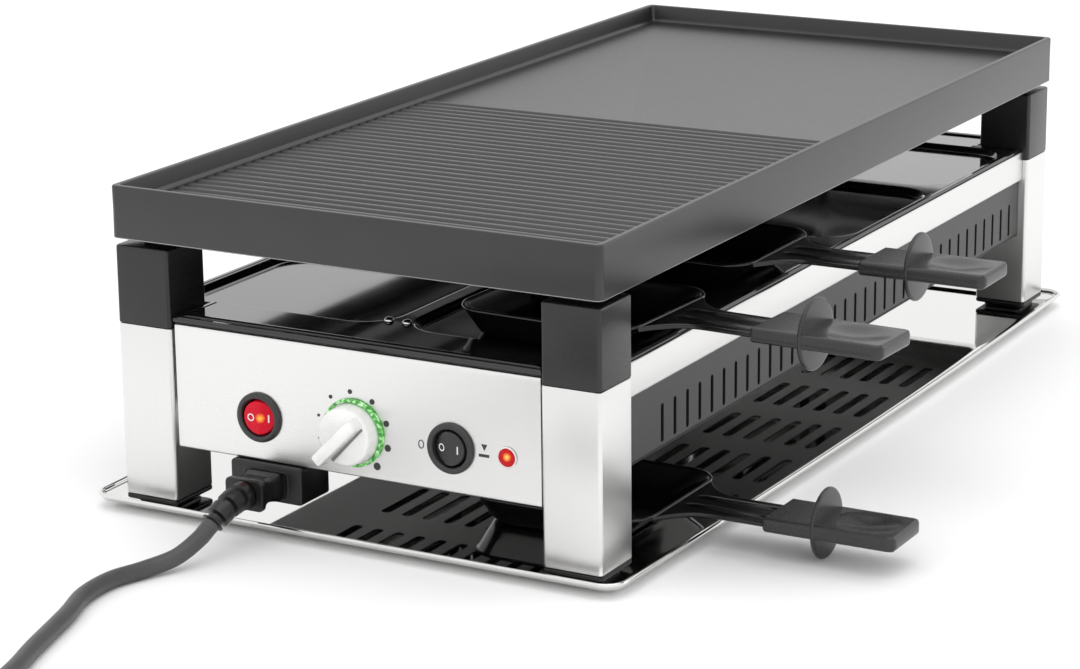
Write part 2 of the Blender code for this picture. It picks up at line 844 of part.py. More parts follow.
def side_parts():
    length = 2 * rail_half_y
    grille_height = grille_top_z - grille_bottom_z
    slot_height = grille_height * slot_height_share
    slot_count = int((length - slot_first) / slot_pitch)
    stand = Matrix(((0, 0, 1, 0), (1, 0, 0, 0), (0, 1, 0, 0), (0, 0, 0, 1)))
    for name, side in (("left", -1), ("right", 1)):
        label = f"side_rail_{name}"
        mesh = channel(label, length, rail_height, rail_flange, -side, "Y", rail_ledge_drop)
        add_object(label, mesh, brushed_steel, (side * rail_face_x, 0, rail_bottom_z))
        centre = (0, 0, grille_height / 2)
        mesh = mesh_from(box_bm((housing_sheet, length, grille_height), centre), "grille")
        place = (side * (grille_face_x - housing_sheet / 2), 0, grille_bottom_z)
        grille = add_object(f"side_grille_{name}", mesh, dark_sheet, place)
        slots = []
        for n in range(slot_count):
            y = -rail_half_y + slot_first + n * slot_pitch
            centre = (y, slot_foot + slot_height / 2, 0)
            slots.append(slot_bm(slot_width, slot_height, housing_sheet + 2 * overrun, centre))
        cutter = merge_bms(slots)
        bmesh.ops.transform(cutter, matrix=stand, verts=cutter.verts)
        boolean(grille, cutter)


def cross_ring(inset, z, half_x=shelf_half_x, half_y=shelf_half_y):
    """A plate with its four corners notched for the legs, drawn in by an inset."""
    a, b = half_x - inset, half_y - inset
    c, d = leg_inner_x - shelf_leg_gap - inset, leg_inner_y - shelf_leg_gap - inset
    points = [
        (a, d), (c, d), (c, b), (-c, b), (-c, d), (-a, d),
        (-a, -d), (-c, -d), (-c, -b), (c, -b), (c, -d), (a, -d),
    ]
    return [Vector((x, y, z)) for x, y in points]


def base_plate():
    """The slotted base: a plate between the grilles with a tongue back to the rear panel."""
    wide, near = grille_face_x, rail_half_y
    tongue, far = panel_half_x, -panel_face_y - housing_sheet - seat_gap
    outline = [
        (-wide, -near), (wide, -near), (wide, near), (tongue, near),
        (tongue, far), (-tongue, far), (-tongue, near), (-wide, near),
    ]
    rings = [[Vector((x, y, z)) for x, y in outline] for z in (base_z, base_top_z)]
    plate = add_object("base_plate", mesh_from(loft(rings), "base_plate"), dark_sheet)
    slots = []
    middle = (base_slot_columns - 1) / 2
    for station in station_ys:
        for half in (-1, 1):
            row_y = station + half * station_pitch / 4
            for column in range(base_slot_columns):
                x = (column - middle) * base_slot_pitch
                on_tongue = abs(x) + base_slot_width / 2 + seat_gap < tongue
                limit = (far if on_tongue else near) - base_margin
                low = max(row_y - base_slot_length / 2, base_margin - near)
                high = min(row_y + base_slot_length / 2, limit)
                centre = (x, (low + high) / 2, base_z + housing_sheet / 2)
                size = (base_slot_width, high - low, housing_sheet + 2 * overrun)
                slots.append(box_bm(size, centre))
    boolean(plate, merge_bms(slots))


# Pan shelf: a pressed sheet with eight shallow wells and a rolled edge

def well_spots():
    """Each well's middle and half sizes on its floor."""
    outer_x = shelf_half_x - well_edge
    near_x = well_rib / 2
    limit_y = leg_inner_y - well_end_edge
    for side in (-1, 1):
        for station in station_ys:
            low = max(station - station_pitch / 2 + well_rib / 2, -limit_y)
            high = min(station + station_pitch / 2 - well_rib / 2, limit_y)
            centre = (side * (outer_x + near_x) / 2, (low + high) / 2)
            yield centre, (outer_x - near_x) / 2, (high - low) / 2


def pan_shelf():
    r = shelf_bead / 2
    throat_share = 0.85
    throat_rise_share = 0.2
    section = [(shelf_bead, deck_bottom_z)]
    section.append((shelf_bead * throat_share, bead_bottom_z + r * throat_rise_share))
    for degrees in (-90, -45, 0, 45, 90, 135):
        angle = math.radians(degrees)
        section.append((r - r * math.cos(angle), bead_top_z - r + r * math.sin(angle)))
    section.append((shelf_bead, deck_top))
    rings = [cross_ring(inset, z) for inset, z in section]
    shelf = add_object("pan_shelf", mesh_from(loft(rings), "pan_shelf"), black_enamel)
    bodies = []
    cavities = []
    bottom = well_floor_z - deck_sheet
    for centre, half_x, half_y in well_spots():
        outer = [
            rounded_ring(half_x - well_slope + deck_sheet, half_y - well_slope + deck_sheet,
                         well_corner, bottom, centre, steps=3),
            rounded_ring(half_x - overrun / 4, half_y - overrun / 4, well_corner,
                         deck_bottom_z + deck_sheet / 2, centre, steps=3),
        ]
        bodies.append(loft(outer))
        rise = overrun * well_slope / well_depth
        inner = [
            rounded_ring(half_x - well_slope, half_y - well_slope, well_corner,
                         well_floor_z, centre, steps=3),
            rounded_ring(half_x + rise, half_y + rise, well_corner,
                         deck_top + overrun, centre, steps=3),
        ]
        cavities.append(loft(inner))
    boolean(shelf, merge_bms(bodies), "UNION")
    post_holes = []
    for side in (-1, 1):
        x, y = side * element_post_x, half_length - element_rear_margin
        low, high = (x, y, bottom - overrun), (x, y, bead_top_z + overrun)
        post_holes.append(cylinder_bm(element_radius + element_hole_gap, low, high, 16))
    boolean(shelf, merge_bms(cavities + post_holes))
    dome_shares = ((0, 1), (0.55, 0.92), (0.88, 0.6), (1, 0.2), (1, 0), (0, 0))
    for name, side in (("left", -1), ("right", 1)):
        head = shelf_screw_radius
        x = side * shelf_screw_spread
        place = (x, -half_length + shelf_screw_from_front, deck_top + seat_gap)
        turned(
            f"shelf_screw_{name}",
            [(head * out, shelf_screw_height * up) for out, up in dome_shares],
            polished_steel, place, axis="Z", steps=16,
        )


# Heating element: one bent tube on two brackets, its ends down to the terminal block

def heating_element():
    front = -half_length + element_front_margin
    rear = half_length - element_rear_margin
    inner_rear = half_length - element_inner_margin
    third = element_run_x / 3
    post_end = terminal_z + terminal_height / 2 + seat_gap
    half = [
        (-element_post_x, rear, post_end),
        (-element_post_x, rear, element_z),
        (-element_run_x, rear, element_z),
        (-element_run_x, front, element_z),
        (-third, front, element_z),
        (-third, inner_rear, element_z),
    ]
    other = [(-x, y, z) for x, y, z in reversed(half)]
    path = rounded_path(half + other, element_bend, 3)
    mesh = tube_mesh("heating_element", path, element_radius, 1)
    add_object("heating_element", mesh, heater_steel)
    block = box_bm((terminal_length, terminal_width, terminal_height))
    mesh = mesh_from(block, "terminal_block")
    item = add_object("terminal_block", mesh, ceramic, (0, rear, terminal_z))
    bevel = item.modifiers.new("edges", "BEVEL")
    bevel.width = terminal_edge
    bevel.segments = 1
    post_height = terminal_z - terminal_height / 2 - base_top_z - seat_gap + terminal_edge
    low = -terminal_height / 2 - post_height / 2 + terminal_edge
    post = box_bm((terminal_post_width, terminal_post_width, post_height), (0, 0, low))
    boolean(item, post, "UNION")


def element_brackets():
    half = bracket_span / 2
    foot = deck_top + seat_gap
    top = bracket_top_z
    bar = top - bracket_strip
    outline = [
        (-bracket_stem, foot), (bracket_stem, foot), (bracket_stem / 2, foot + bracket_strip),
        (bracket_stem / 2, bar), (half, bar), (half, top), (-half, top), (-half, bar),
        (-bracket_stem / 2, bar), (-bracket_stem / 2, foot + bracket_strip),
    ]
    stand = Matrix(((1, 0, 0, 0), (0, 0, -1, 0), (0, 1, 0, 0), (0, 0, 0, 1)))
    for name, y in (("front", bracket_front_y), ("rear", bracket_rear_y)):
        bm = bm_of(flat_solid("bracket", outline, bracket_depth))
        bmesh.ops.transform(bm, matrix=stand, verts=bm.verts)
        label = f"element_bracket_{name}"
        add_object(label, mesh_from(bm, label), heater_steel, (0, y, 0))


# Controls: two round rocker switches, the lit ring, the knob with its spindle, the lamp

def switch_body(name, x):
    face = seat_gap
    floor = bezel_height - bezel_bore_depth
    profile = [
        (0, floor), (bezel_bore, floor),
        (bezel_bore, bezel_height - bezel_round), (bezel_bore + bezel_round / 2, bezel_height),
        (bezel_radius - bezel_round, bezel_height), (bezel_radius, bezel_height - bezel_round),
        (bezel_radius, face), (barrel_radius, face), (barrel_radius, -barrel_depth),
        (0, -barrel_depth),
    ]
    item = turned(name, profile, black_plastic, (x, panel_face_y, control_z), steps=24)
    pins = rocker_pin_radius + rocker_pin_gap
    reach = bezel_bore + rocker_pin_end
    tool = cylinder_bm(pins, (0, -reach, -rocker_pivot), (0, reach, -rocker_pivot), 12)
    boolean(item, tool)


def rocker(name, x, tilt, material):
    """A round rocker with a ridged front; its origin is its pivot, on a vertical axis."""
    count = 28
    slope = math.tan(rocker_tilt)
    front = []
    back = []
    for n in range(count):
        angle = math.tau * n / count
        across, up = rocker_radius * math.cos(angle), rocker_radius * math.sin(angle)
        front.append(Vector((across, -rocker_front + abs(across) * slope, up)))
        back.append(Vector((across, rocker_back, up)))
    bm = bmesh.new()
    front_verts = [bm.verts.new(point) for point in front]
    back_verts = [bm.verts.new(point) for point in back]
    for n in range(count):
        m = (n + 1) % count
        bm.faces.new((front_verts[n], front_verts[m], back_verts[m], back_verts[n]))
    bm.faces.new(back_verts)
    quarter = count // 4
    right = [front_verts[n % count] for n in range(-quarter, quarter + 1)]
    left = [front_verts[n] for n in range(quarter, 3 * quarter + 1)]
    bm.faces.new(right)
    bm.faces.new(left)
    place = (x, panel_face_y + rocker_pivot, control_z)
    item = add_object(name, mesh_from(bm, name), material, place)
    item.rotation_euler = (0, 0, tilt)
    reach = bezel_bore + rocker_pin_end / 2
    pins = cylinder_bm(rocker_pin_radius, (0, 0, -reach), (0, 0, reach), 12)
    boolean(item, pins, "UNION")


def knob():
    ring = [
        (ring_outer, ring_height - knob_edge), (ring_outer, 0), (ring_inner, 0),
        (ring_inner, ring_height), (ring_outer - knob_edge, ring_height),
        (ring_outer, ring_height - knob_edge),
    ]
    turned("knob_ring", ring, green_glow, (0, panel_face_y - seat_gap, control_z), steps=28)
    back = knob_back_gap
    front = knob_back_gap + knob_height
    disc = [
        (0, front), (knob_radius - knob_edge, front), (knob_radius, front - knob_edge),
        (knob_radius, back), (0, back),
    ]
    item = turned("control_knob", disc, white_plastic, (0, panel_face_y, control_z))
    half = grip_width / 2
    top = grip_top_width / 2
    low = front - grip_sink
    high = front + grip_height
    lean_share = 0.10
    lean = grip_pointer * lean_share
    rings = [
        [Vector((grip_pointer, side, low)) for side in (-half, half)]
        + [Vector((-grip_tail, side, low)) for side in (half, -half)],
        [Vector((grip_pointer - lean, side, high)) for side in (-top, top)]
        + [Vector((-grip_tail + lean, side, high - lean)) for side in (top, -top)],
    ]
    grip = loft(rings)
    turn = Matrix.Rotation(grip_angle, 4, "Z")
    bmesh.ops.transform(grip, matrix=turn, verts=grip.verts)
    boolean(item, grip, "UNION")
    start = (0, back - seat_gap)
    shaft = [
        (0, start[1]), (spindle_radius, start[1]),
        (spindle_radius, start[1] - spindle_length), (0, start[1] - spindle_length),
    ]
    turned("knob_spindle", shaft, brass, (0, panel_face_y, control_z), steps=20)


def thermostat():
    y = panel_face_y + housing_sheet + seat_gap + bushing_length + thermostat_depth / 2
    block = box_bm((thermostat_side, thermostat_depth, thermostat_side))
    item = add_object("thermostat", mesh_from(block, "thermostat"), ceramic, (0, y, control_z))
    bevel = item.modifiers.new("edges", "BEVEL")
    bevel.width = thermostat_edge
    bevel.segments = 1
    front = -thermostat_depth / 2
    bushing = cylinder_bm(bushing_radius, (0, front - bushing_length, 0), (0, front + bushing_radius, 0))
    boolean(item, bushing, "UNION")
    reach = spindle_length + bushing_gap
    bore = cylinder_bm(
        spindle_radius + bushing_gap,
        (0, front - bushing_length - overrun, 0), (0, front - bushing_length + reach, 0), 20,
    )
    boolean(item, bore)


def indicator_lamp():
    r = lamp_radius
    dome_shares = ((0, 1), (0.45, 0.93), (0.78, 0.66))
    lip_share = 0.4
    profile = [
        *[(r * out, lamp_rise * up) for out, up in dome_shares],
        (r - lamp_rim * lip_share, lamp_rim), (r, lamp_rim), (r, seat_gap), (lamp_barrel, seat_gap),
        (lamp_barrel, -lamp_depth), (0, -lamp_depth),
    ]
    turned("indicator_lamp", profile, red_glow, (lamp_x, panel_face_y, control_z), steps=16)


# Inlet under the panel: housing, socket with three pins, and the connector that plugs in

def inlet():
    top = panel_bottom_z - seat_gap
    height = top - inlet_bottom_z
    size = (2 * inlet_half_width, inlet_depth, height)
    bm = box_bm(size, (0, inlet_depth / 2, inlet_bottom_z + height / 2))
    mesh = mesh_from(bm, "inlet_housing")
    housing = add_object("inlet_housing", mesh, black_plastic, (inlet_x, inlet_face_y, 0))
    bevel = housing.modifiers.new("edges", "BEVEL")
    bevel.width = inlet_edge
    bevel.segments = 2

    def tool(half_x, half_z, corner, start, end):
        rings = [rounded_ring(half_x, half_z, corner, z, steps=3) for z in (-end, -start)]
        solid = loft(rings)
        lay = Matrix.Rotation(math.radians(90), 4, "X")
        bmesh.ops.transform(solid, matrix=lay, verts=solid.verts)
        return solid

    opening = tool(
        socket_half_width + seat_gap, socket_half_height + seat_gap, socket_corner,
        -overrun, socket_depth + seat_gap,
    )
    bmesh.ops.translate(opening, vec=(0, 0, inlet_z), verts=opening.verts)
    boolean(housing, opening)
    body = tool(socket_half_width, socket_half_height, socket_corner, 0, socket_depth)
    place = (inlet_x, inlet_face_y, inlet_z)
    socket = add_object("inlet_socket", mesh_from(body, "inlet_socket"), black_plastic, place)
    cavity = tool(cavity_half_width, cavity_half_height, cavity_corner, -overrun, cavity_depth)
    boolean(socket, cavity)
    pins = []
    deep = cavity_depth + pin_thickness / 2
    for n, x in enumerate((-pin_spread, 0, pin_spread)):
        z = -pin_rise if n == 1 else pin_rise
        size = (pin_thickness, pin_length, pin_width)
        pins.append(box_bm(size, (x, deep - pin_length / 2, z)))
    boolean(socket, merge_bms(pins), "UNION").name = "inlet_pins"


def flat_ring_y(half_x, half_z, corner, y):
    """A rounded rectangle standing across the Y axis."""
    return [Vector((p.x, y, p.y)) for p in rounded_ring(half_x, half_z, corner, 0, steps=3)]


def connector():
    rings = [
        flat_ring_y(plug_in_half_width, plug_in_half_height, connector_corner, plug_in_depth),
        flat_ring_y(plug_in_half_width, plug_in_half_height, connector_corner, -seat_gap),
        flat_ring_y(connector_half_width, connector_half_height, connector_corner,
                    -connector_length * connector_shoulder_share),
        flat_ring_y(connector_half_width - connector_waist, connector_half_height - connector_waist,
                    connector_corner, -connector_length * connector_waist_share),
        flat_ring_y(connector_half_width, connector_half_height, connector_corner, -connector_length),
        flat_ring_y(connector_flange_half_width, connector_flange_half_height, connector_corner,
                    -connector_length),
        flat_ring_y(connector_flange_half_width, connector_flange_half_height, connector_corner,
                    -connector_length - connector_flange),
    ]
    place = (inlet_x, inlet_face_y, inlet_z)
    mesh = mesh_from(loft(rings), "power_connector")
    item = add_object("power_connector", mesh, black_plastic, place)
    slots = []
    for n, x in enumerate((-pin_spread, 0, pin_spread)):
        z = -pin_rise if n == 1 else pin_rise
        size = (pin_thickness + 2 * plug_slot_gap, plug_in_depth, pin_width + 2 * plug_slot_gap)
        slots.append(box_bm(size, (x, plug_in_depth / 2 + overrun, z)))
    boolean(item, merge_bms(slots))


def relief_point(share):
    """A point of the strain relief's middle line, and the line's direction there."""
    bend = share ** 2
    point = Vector((
        inlet_x - relief_swing * bend, relief_y - relief_length * share,
        inlet_z - relief_droop * bend,
    ))
    line = Vector((-2 * relief_swing * share, -relief_length, -2 * relief_droop * share))
    return point, line.normalized()


def strain_relief():
    steps = 4 * relief_rings
    count = 12
    rings = []
    for n in range(steps + 1):
        share = n / steps
        centre, line = relief_point(share)
        radius = relief_radius + (relief_end_radius - relief_radius) * share
        if n % 4 == 2:
            radius -= relief_ring
        side = line.cross(Vector((0, 0, 1))).normalized()
        up = side.cross(line)
        turns = [math.tau * k / count for k in range(count)]
        ring = [centre + (side * math.cos(t) + up * math.sin(t)) * radius for t in turns]
        rings.append(ring)
    add_object("strain_relief", mesh_from(loft(rings), "strain_relief"), black_rubber)


# The mains cord: a free stretch, a round coil in two layers, and the mains plug

def coil_path():
    """In along the floor, up a layer in half a turn, and out again on top."""
    mean = coil_middle / 2
    span = coil_turns * coil_pitch
    outer = mean + span / 2
    per_turn = coil_points_per_turn
    floor_z = cord_diameter / 2
    steps_in = round(coil_turns * per_turn)
    steps_up = per_turn // 2
    total = 2 * steps_in + steps_up
    path = []
    for n in range(total + 1):
        if n <= steps_in:
            drawn_in, layer = n / per_turn * coil_pitch, 0
        elif n <= steps_in + steps_up:
            share = (n - steps_in) / steps_up
            drawn_in = span + coil_climb_draw * math.sin(math.pi * share)
            layer = (1 - math.cos(math.pi * share)) / 2
        else:
            drawn_in, layer = (total - n) / per_turn * coil_pitch, 1
        angle = coil_start_angle + math.tau * n / per_turn
        radius = outer - drawn_in
        path.append(Vector((
            coil_x + radius * math.cos(angle), coil_y + radius * math.sin(angle),
            floor_z + layer * coil_layer_step,
        )))
    return path


def least_self_gap(path, width):
    """The least clear distance between turns of a path of a given width."""
    least = math.inf
    apart = coil_points_per_turn // 2
    for n, here in enumerate(path):
        for there, after in zip(path[n + apart:], path[n + apart + 1:]):
            run = after - there
            share = max(0.0, min(1.0, (here - there).dot(run) / run.length_squared))
            least = min(least, (here - (there + run * share)).length)
    return least - width


def heading(path, at_end):
    """The direction in which a path leaves, at its end or, turned back, at its start."""
    line = path[-1] - path[-2] if at_end else path[0] - path[1]
    return line.normalized()


def cords():
    coil = coil_path()
    into = heading(coil, at_end=False)
    first = coil[0] + into * cord_diameter
    away = heading(coil, at_end=True)
    away.z = 0
    lift = Vector((0, 0, coil_tail_rise))
    tail_shares = ((0.4, 0.2), (0.75, 0.8), (1, 1))
    tail = [coil[-1] + away * coil_tail * out + lift * up for out, up in tail_shares]
    tail.append(coil[-1] + away * (coil_tail + cord_diameter) + lift)
    whole_coil = [first, *coil, *tail]
    gap = least_self_gap(coil, cord_diameter)
    print(f"least gap of the coil to itself: {gap / MM:.2f} mm")
    mesh = tube_mesh("cord_coil", whole_coil, cord_diameter / 2, 1)
    add_object("cord_coil", mesh, black_rubber)
    end, line = relief_point(1)
    begin = end + line * seat_gap
    leave = begin + line * cord_diameter
    meet = first + into * seat_gap
    route = [begin, leave, *[Vector(p) for p in cord_route]]
    approach = [meet + into * cord_diameter, meet]
    path = smooth_path(route + approach, cord_samples)
    mesh = tube_mesh("power_cord", path, cord_diameter / 2, 2)
    add_object("power_cord", mesh, black_rubber)
    mains_plug(whole_coil[-1] + away * seat_gap, away)
    length = sum((b - a).length for a, b in zip(path, path[1:]))
    length += sum((b - a).length for a, b in zip(whole_coil, whole_coil[1:]))
    print(f"length of the cord: {length:.3f} m")


def mains_plug(start, direction):
    """A round two-pin plug lying on its side, its neck facing the cord."""
    centre_z = start.z
    neck_share = 0.8
    body_shares = ((0.82, 0.18), (1, 0.45), (1, 1))
    lift_share = 0.1
    profile = [(plug_neck_radius * neck_share, 0), (plug_neck_radius, plug_neck)]
    profile += [(plug_radius * out, plug_neck + plug_length * up) for out, up in body_shares]
    rings = []
    count = 24
    for radius, height in profile:
        ring = []
        for n in range(count):
            angle = math.tau * n / count
            z = max(radius * math.sin(angle), -centre_z + seat_gap * lift_share)
            ring.append(Vector((height, radius * math.cos(angle), z)))
        rings.append(ring)
    item = add_object("mains_plug", mesh_from(loft(rings), "mains_plug"), black_plastic, start)
    item.rotation_euler = (0, 0, math.atan2(direction.y, direction.x))
    pins = []
    face = plug_neck + plug_length
    for side in (-1, 1):
        y = side * mains_pin_spread
        low, high = (face - overrun, y, 0), (face + mains_pin_length, y, 0)
        pins.append(cylinder_bm(mains_pin_radius, low, high, 12))
    boolean(item, merge_bms(pins), "UNION")


# Raclette pans: pressed pan with a flared, ribbed stem, and a moulded handle with a guard

def pan_mesh():
    """A pan about the middle of its floor, its stem toward +X."""
    half_x, half_y = pan_length / 2, pan_width / 2
    top = pan_height
    curve = pan_foot_round

    def ring(share, inset, z):
        """A ring drawn in by a share of the wall's slope, longer on the stem's side."""
        near = pan_taper * share + inset
        far = pan_stem_taper * share + inset
        corner = max(pan_corner - near * corner_share, pan_corner * corner_share)
        centre = ((near - far) / 2, 0)
        return rounded_ring(half_x - (near + far) / 2, half_y - near, corner, z, centre)

    corner_share = 0.5
    round_share = 0.3
    lip_share = 0.6
    rings = [
        ring(1, curve, 0),
        ring(1, curve * round_share, curve * round_share),
        ring(1, 0, curve),
        ring(0, pan_lip, top - pan_lip),
        ring(0, 0, top - pan_lip * lip_share),
        ring(0, 0, top),
        ring(0, pan_lip, top),
        ring(1, pan_sheet, curve),
        ring(1, curve, pan_sheet),
    ]
    return mesh_from(loft(rings), "pan")


def stem_outline():
    """The stem seen from above: wide where it leaves the rim, then a strap, then the tang."""
    root, half = stem_root / 2, stem_width / 2
    start = pan_length / 2 - stem_sink
    end = pan_length / 2 + stem_length - seat_gap
    flare_shares = ((0.0, 1.0), (0.06, 0.72), (0.14, 0.46), (0.26, 0.22), (0.42, 0.06), (0.62, 0.0))
    upper = []
    for along, out in flare_shares:
        upper.append((start + along * stem_length, half + (root - half) * out))
    upper.append((end, half))
    tang = tang_width / 2
    upper.append((end, tang))
    upper.append((end + tang_length, tang))
    lower = [(x, -y) for x, y in reversed(upper)]
    return upper + lower


def pan(name, place, turn):
    item = add_object(name, pan_mesh(), pan_coating, place)
    item.rotation_euler = (0, 0, turn)
    stem_z = pan_height - stem_drop - stem_thickness / 2
    stem = bm_of(flat_solid("stem", stem_outline(), stem_thickness))
    bmesh.ops.translate(stem, vec=(0, 0, stem_z), verts=stem.verts)
    boolean(item, stem, "UNION")
    ribs = []
    rib_length = stem_length - 2 * stem_rib_margin
    for side in (-1, 0, 1):
        centre = (
            pan_length / 2 + stem_length / 2, side * stem_rib_spread / 2,
            stem_z + stem_thickness / 2 + stem_rib_height / 2 - overrun / 4,
        )
        ribs.append(box_bm((rib_length, stem_rib_width, stem_rib_height + overrun / 2), centre))
    boolean(item, merge_bms(ribs), "UNION").name = f"{name}_stem_ribs"


def pan_handle(name, place, turn):
    """The handle of a pan, from the same origin as the pan."""
    start = pan_length / 2 + stem_length
    stem_z = pan_height - stem_drop - stem_thickness / 2
    top = stem_z + handle_rise
    bottom = top - handle_thickness
    centre = (start + handle_length / 2, 0)
    half_x, half_y = handle_length / 2, handle_width / 2

    def ring(inset, z):
        return rounded_ring(half_x - inset, half_y - inset, handle_corner, z, centre, steps=3)

    rings = [
        ring(handle_edge, bottom), ring(0, bottom + handle_edge),
        ring(0, top - handle_edge), ring(handle_edge, top),
    ]
    item = add_object(name, mesh_from(loft(rings), name), handle_plastic, place)
    item.rotation_euler = (0, 0, turn)
    guard_x = start + guard_from_stem
    middle = (top + bottom) / 2
    guard = cylinder_bm(
        guard_radius, (guard_x - guard_thickness / 2, 0, middle),
        (guard_x + guard_thickness / 2, 0, middle), 28,
    )
    boolean(item, guard, "UNION")
    dish = bmesh.new()
    dish_x = guard_x + guard_thickness / 2 + dish_margin + dish_length / 2
    depth = 3 * dish_depth
    place_dish = Matrix.Translation((dish_x, 0, top + depth - dish_depth))
    spread = 1 / math.sqrt(1 - (1 - dish_depth / depth) ** 2)
    scale = Matrix.Diagonal((dish_length / 2 * spread, dish_width / 2 * spread, depth, 1))
    bmesh.ops.create_uvsphere(dish, u_segments=14, v_segments=10, radius=1, matrix=place_dish @ scale)
    boolean(item, dish)
    gap = 2 * seat_gap
    size = (tang_length + gap + overrun, tang_width + gap, stem_thickness + gap)
    hollow = box_bm(size, (start + (tang_length + gap - overrun) / 2, 0, stem_z))
    boolean(item, hollow).name = f"{name}_tang_hole"


def pans():
    """The front pan stands a little askew, turned about a spot on its handle."""
    arm = front_pan_pivot_x - pan_centre_x
    front_x = front_pan_pivot_x - arm * math.cos(front_pan_turn)
    front_y = station_ys[0] - arm * math.sin(front_pan_turn)
    spots = (
        ("front", (front_x, front_y, pan_floor_z), front_pan_turn),
        ("middle", (pan_centre_x + middle_pan_shift_x, station_ys[1] + middle_pan_shift_y,
                    pan_floor_z), 0),
        ("parked", (pan_centre_x + lower_pan_shift_x, station_ys[0] + lower_pan_shift_y,
                    tray_floor_z + seat_gap), 0),
    )
    for name, place, turn in spots:
        pan(f"pan_{name}", place, turn)
        pan_handle(f"pan_handle_{name}", place, turn)


drip_tray()
leg_parts()
griddle()
end_panels()
side_parts()
base_plate()
pan_shelf()
heating_element()
element_brackets()
switch_body("power_switch", -switch_x)
rocker("power_rocker", -switch_x, rocker_tilt, red_glow)
switch_body("mode_switch", switch_x)
rocker("mode_rocker", switch_x, -rocker_tilt, black_plastic)
knob()
thermostat()
indicator_lamp()
inlet()
connector()
strain_relief()
cords()
pans()


def report_triangles():
    """Prints each piece's triangles, most first, to keep the whole within its budget."""
    graph = bpy.context.evaluated_depsgraph_get()
    counts = []
    for item in parts.objects:
        if item.type == "MESH":
            mesh = item.evaluated_get(graph).to_mesh()
            mesh.calc_loop_triangles()
            counts.append((len(mesh.loop_triangles), item.name))
    counts.sort(reverse=True)
    print("triangles:", sum(count for count, _ in counts), "in", len(counts), "pieces")
    print(", ".join(f"{name} {count}" for count, name in counts))


report_triangles()
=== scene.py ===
import math

import bmesh
import bpy
from mathutils import Matrix, Vector


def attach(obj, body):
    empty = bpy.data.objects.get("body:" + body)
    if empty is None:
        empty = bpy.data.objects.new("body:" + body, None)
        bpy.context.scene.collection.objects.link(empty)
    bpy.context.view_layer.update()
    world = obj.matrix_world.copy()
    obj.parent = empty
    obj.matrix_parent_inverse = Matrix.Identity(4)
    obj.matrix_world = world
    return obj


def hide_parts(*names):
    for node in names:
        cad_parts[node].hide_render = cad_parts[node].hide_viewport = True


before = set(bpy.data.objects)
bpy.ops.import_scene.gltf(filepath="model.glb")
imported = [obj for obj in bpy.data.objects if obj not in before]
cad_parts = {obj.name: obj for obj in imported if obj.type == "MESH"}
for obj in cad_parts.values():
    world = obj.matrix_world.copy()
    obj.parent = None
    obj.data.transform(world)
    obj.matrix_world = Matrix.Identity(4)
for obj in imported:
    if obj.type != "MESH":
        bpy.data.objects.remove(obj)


def write_sizes():
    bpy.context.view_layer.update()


write_sizes()

# Everything below is measured in millimetres from the middle of the grill on the table
MM = 0.001
SHIFT = Vector((-0.0449, 0.00305, 0.0))


def at(x, y, z):
    return Vector((x * MM, y * MM, z * MM)) + SHIFT


# Materials

def shader(name):
    material = bpy.data.materials.new(name)
    material.use_nodes = True
    tree = material.node_tree
    return material, tree, tree.nodes["Principled BSDF"]


def fill(node, **values):
    """Sets inputs by name, with an underscore for each space."""
    for name, value in values.items():
        node.inputs[name.replace("_", " ")].default_value = value


def add(tree, kind, **values):
    node = tree.nodes.new(kind)
    fill(node, **values)
    return node


def maths(tree, kind, operation):
    node = tree.nodes.new(kind)
    node.operation = operation
    return node


def place_texture(tree, scale=(1, 1, 1)):
    coords = add(tree, "ShaderNodeTexCoord")
    mapping = add(tree, "ShaderNodeMapping", Scale=scale)
    tree.links.new(coords.outputs["Object"], mapping.inputs["Vector"])
    return mapping.outputs["Vector"]


def noise(tree, vector, scale, detail=2.0, rough=0.5):
    node = add(tree, "ShaderNodeTexNoise", Scale=scale, Detail=detail, Roughness=rough)
    tree.links.new(vector, node.inputs["Vector"])
    return node.outputs["Fac"]


def ramp(tree, value, stops):
    node = add(tree, "ShaderNodeValToRGB")
    elements = node.color_ramp.elements
    while len(elements) < len(stops):
        elements.new(0.5)
    for element, (place, colour) in zip(elements, stops):
        element.position = place
        element.color = (*colour, 1.0)
    tree.links.new(value, node.inputs["Fac"])
    return node.outputs["Color"]


def span(tree, value, low, high, from_low=0.3, from_high=0.7):
    node = add(tree, "ShaderNodeMapRange", From_Min=from_low, From_Max=from_high, To_Min=low, To_Max=high)
    tree.links.new(value, node.inputs["Value"])
    return node.outputs["Result"]


def bump(tree, bsdf, height, strength, distance):
    node = add(tree, "ShaderNodeBump", Strength=strength, Distance=distance)
    tree.links.new(height, node.inputs["Height"])
    tree.links.new(node.outputs["Normal"], bsdf.inputs["Normal"])


def grey(value):
    return (value, value, value * 1.01)


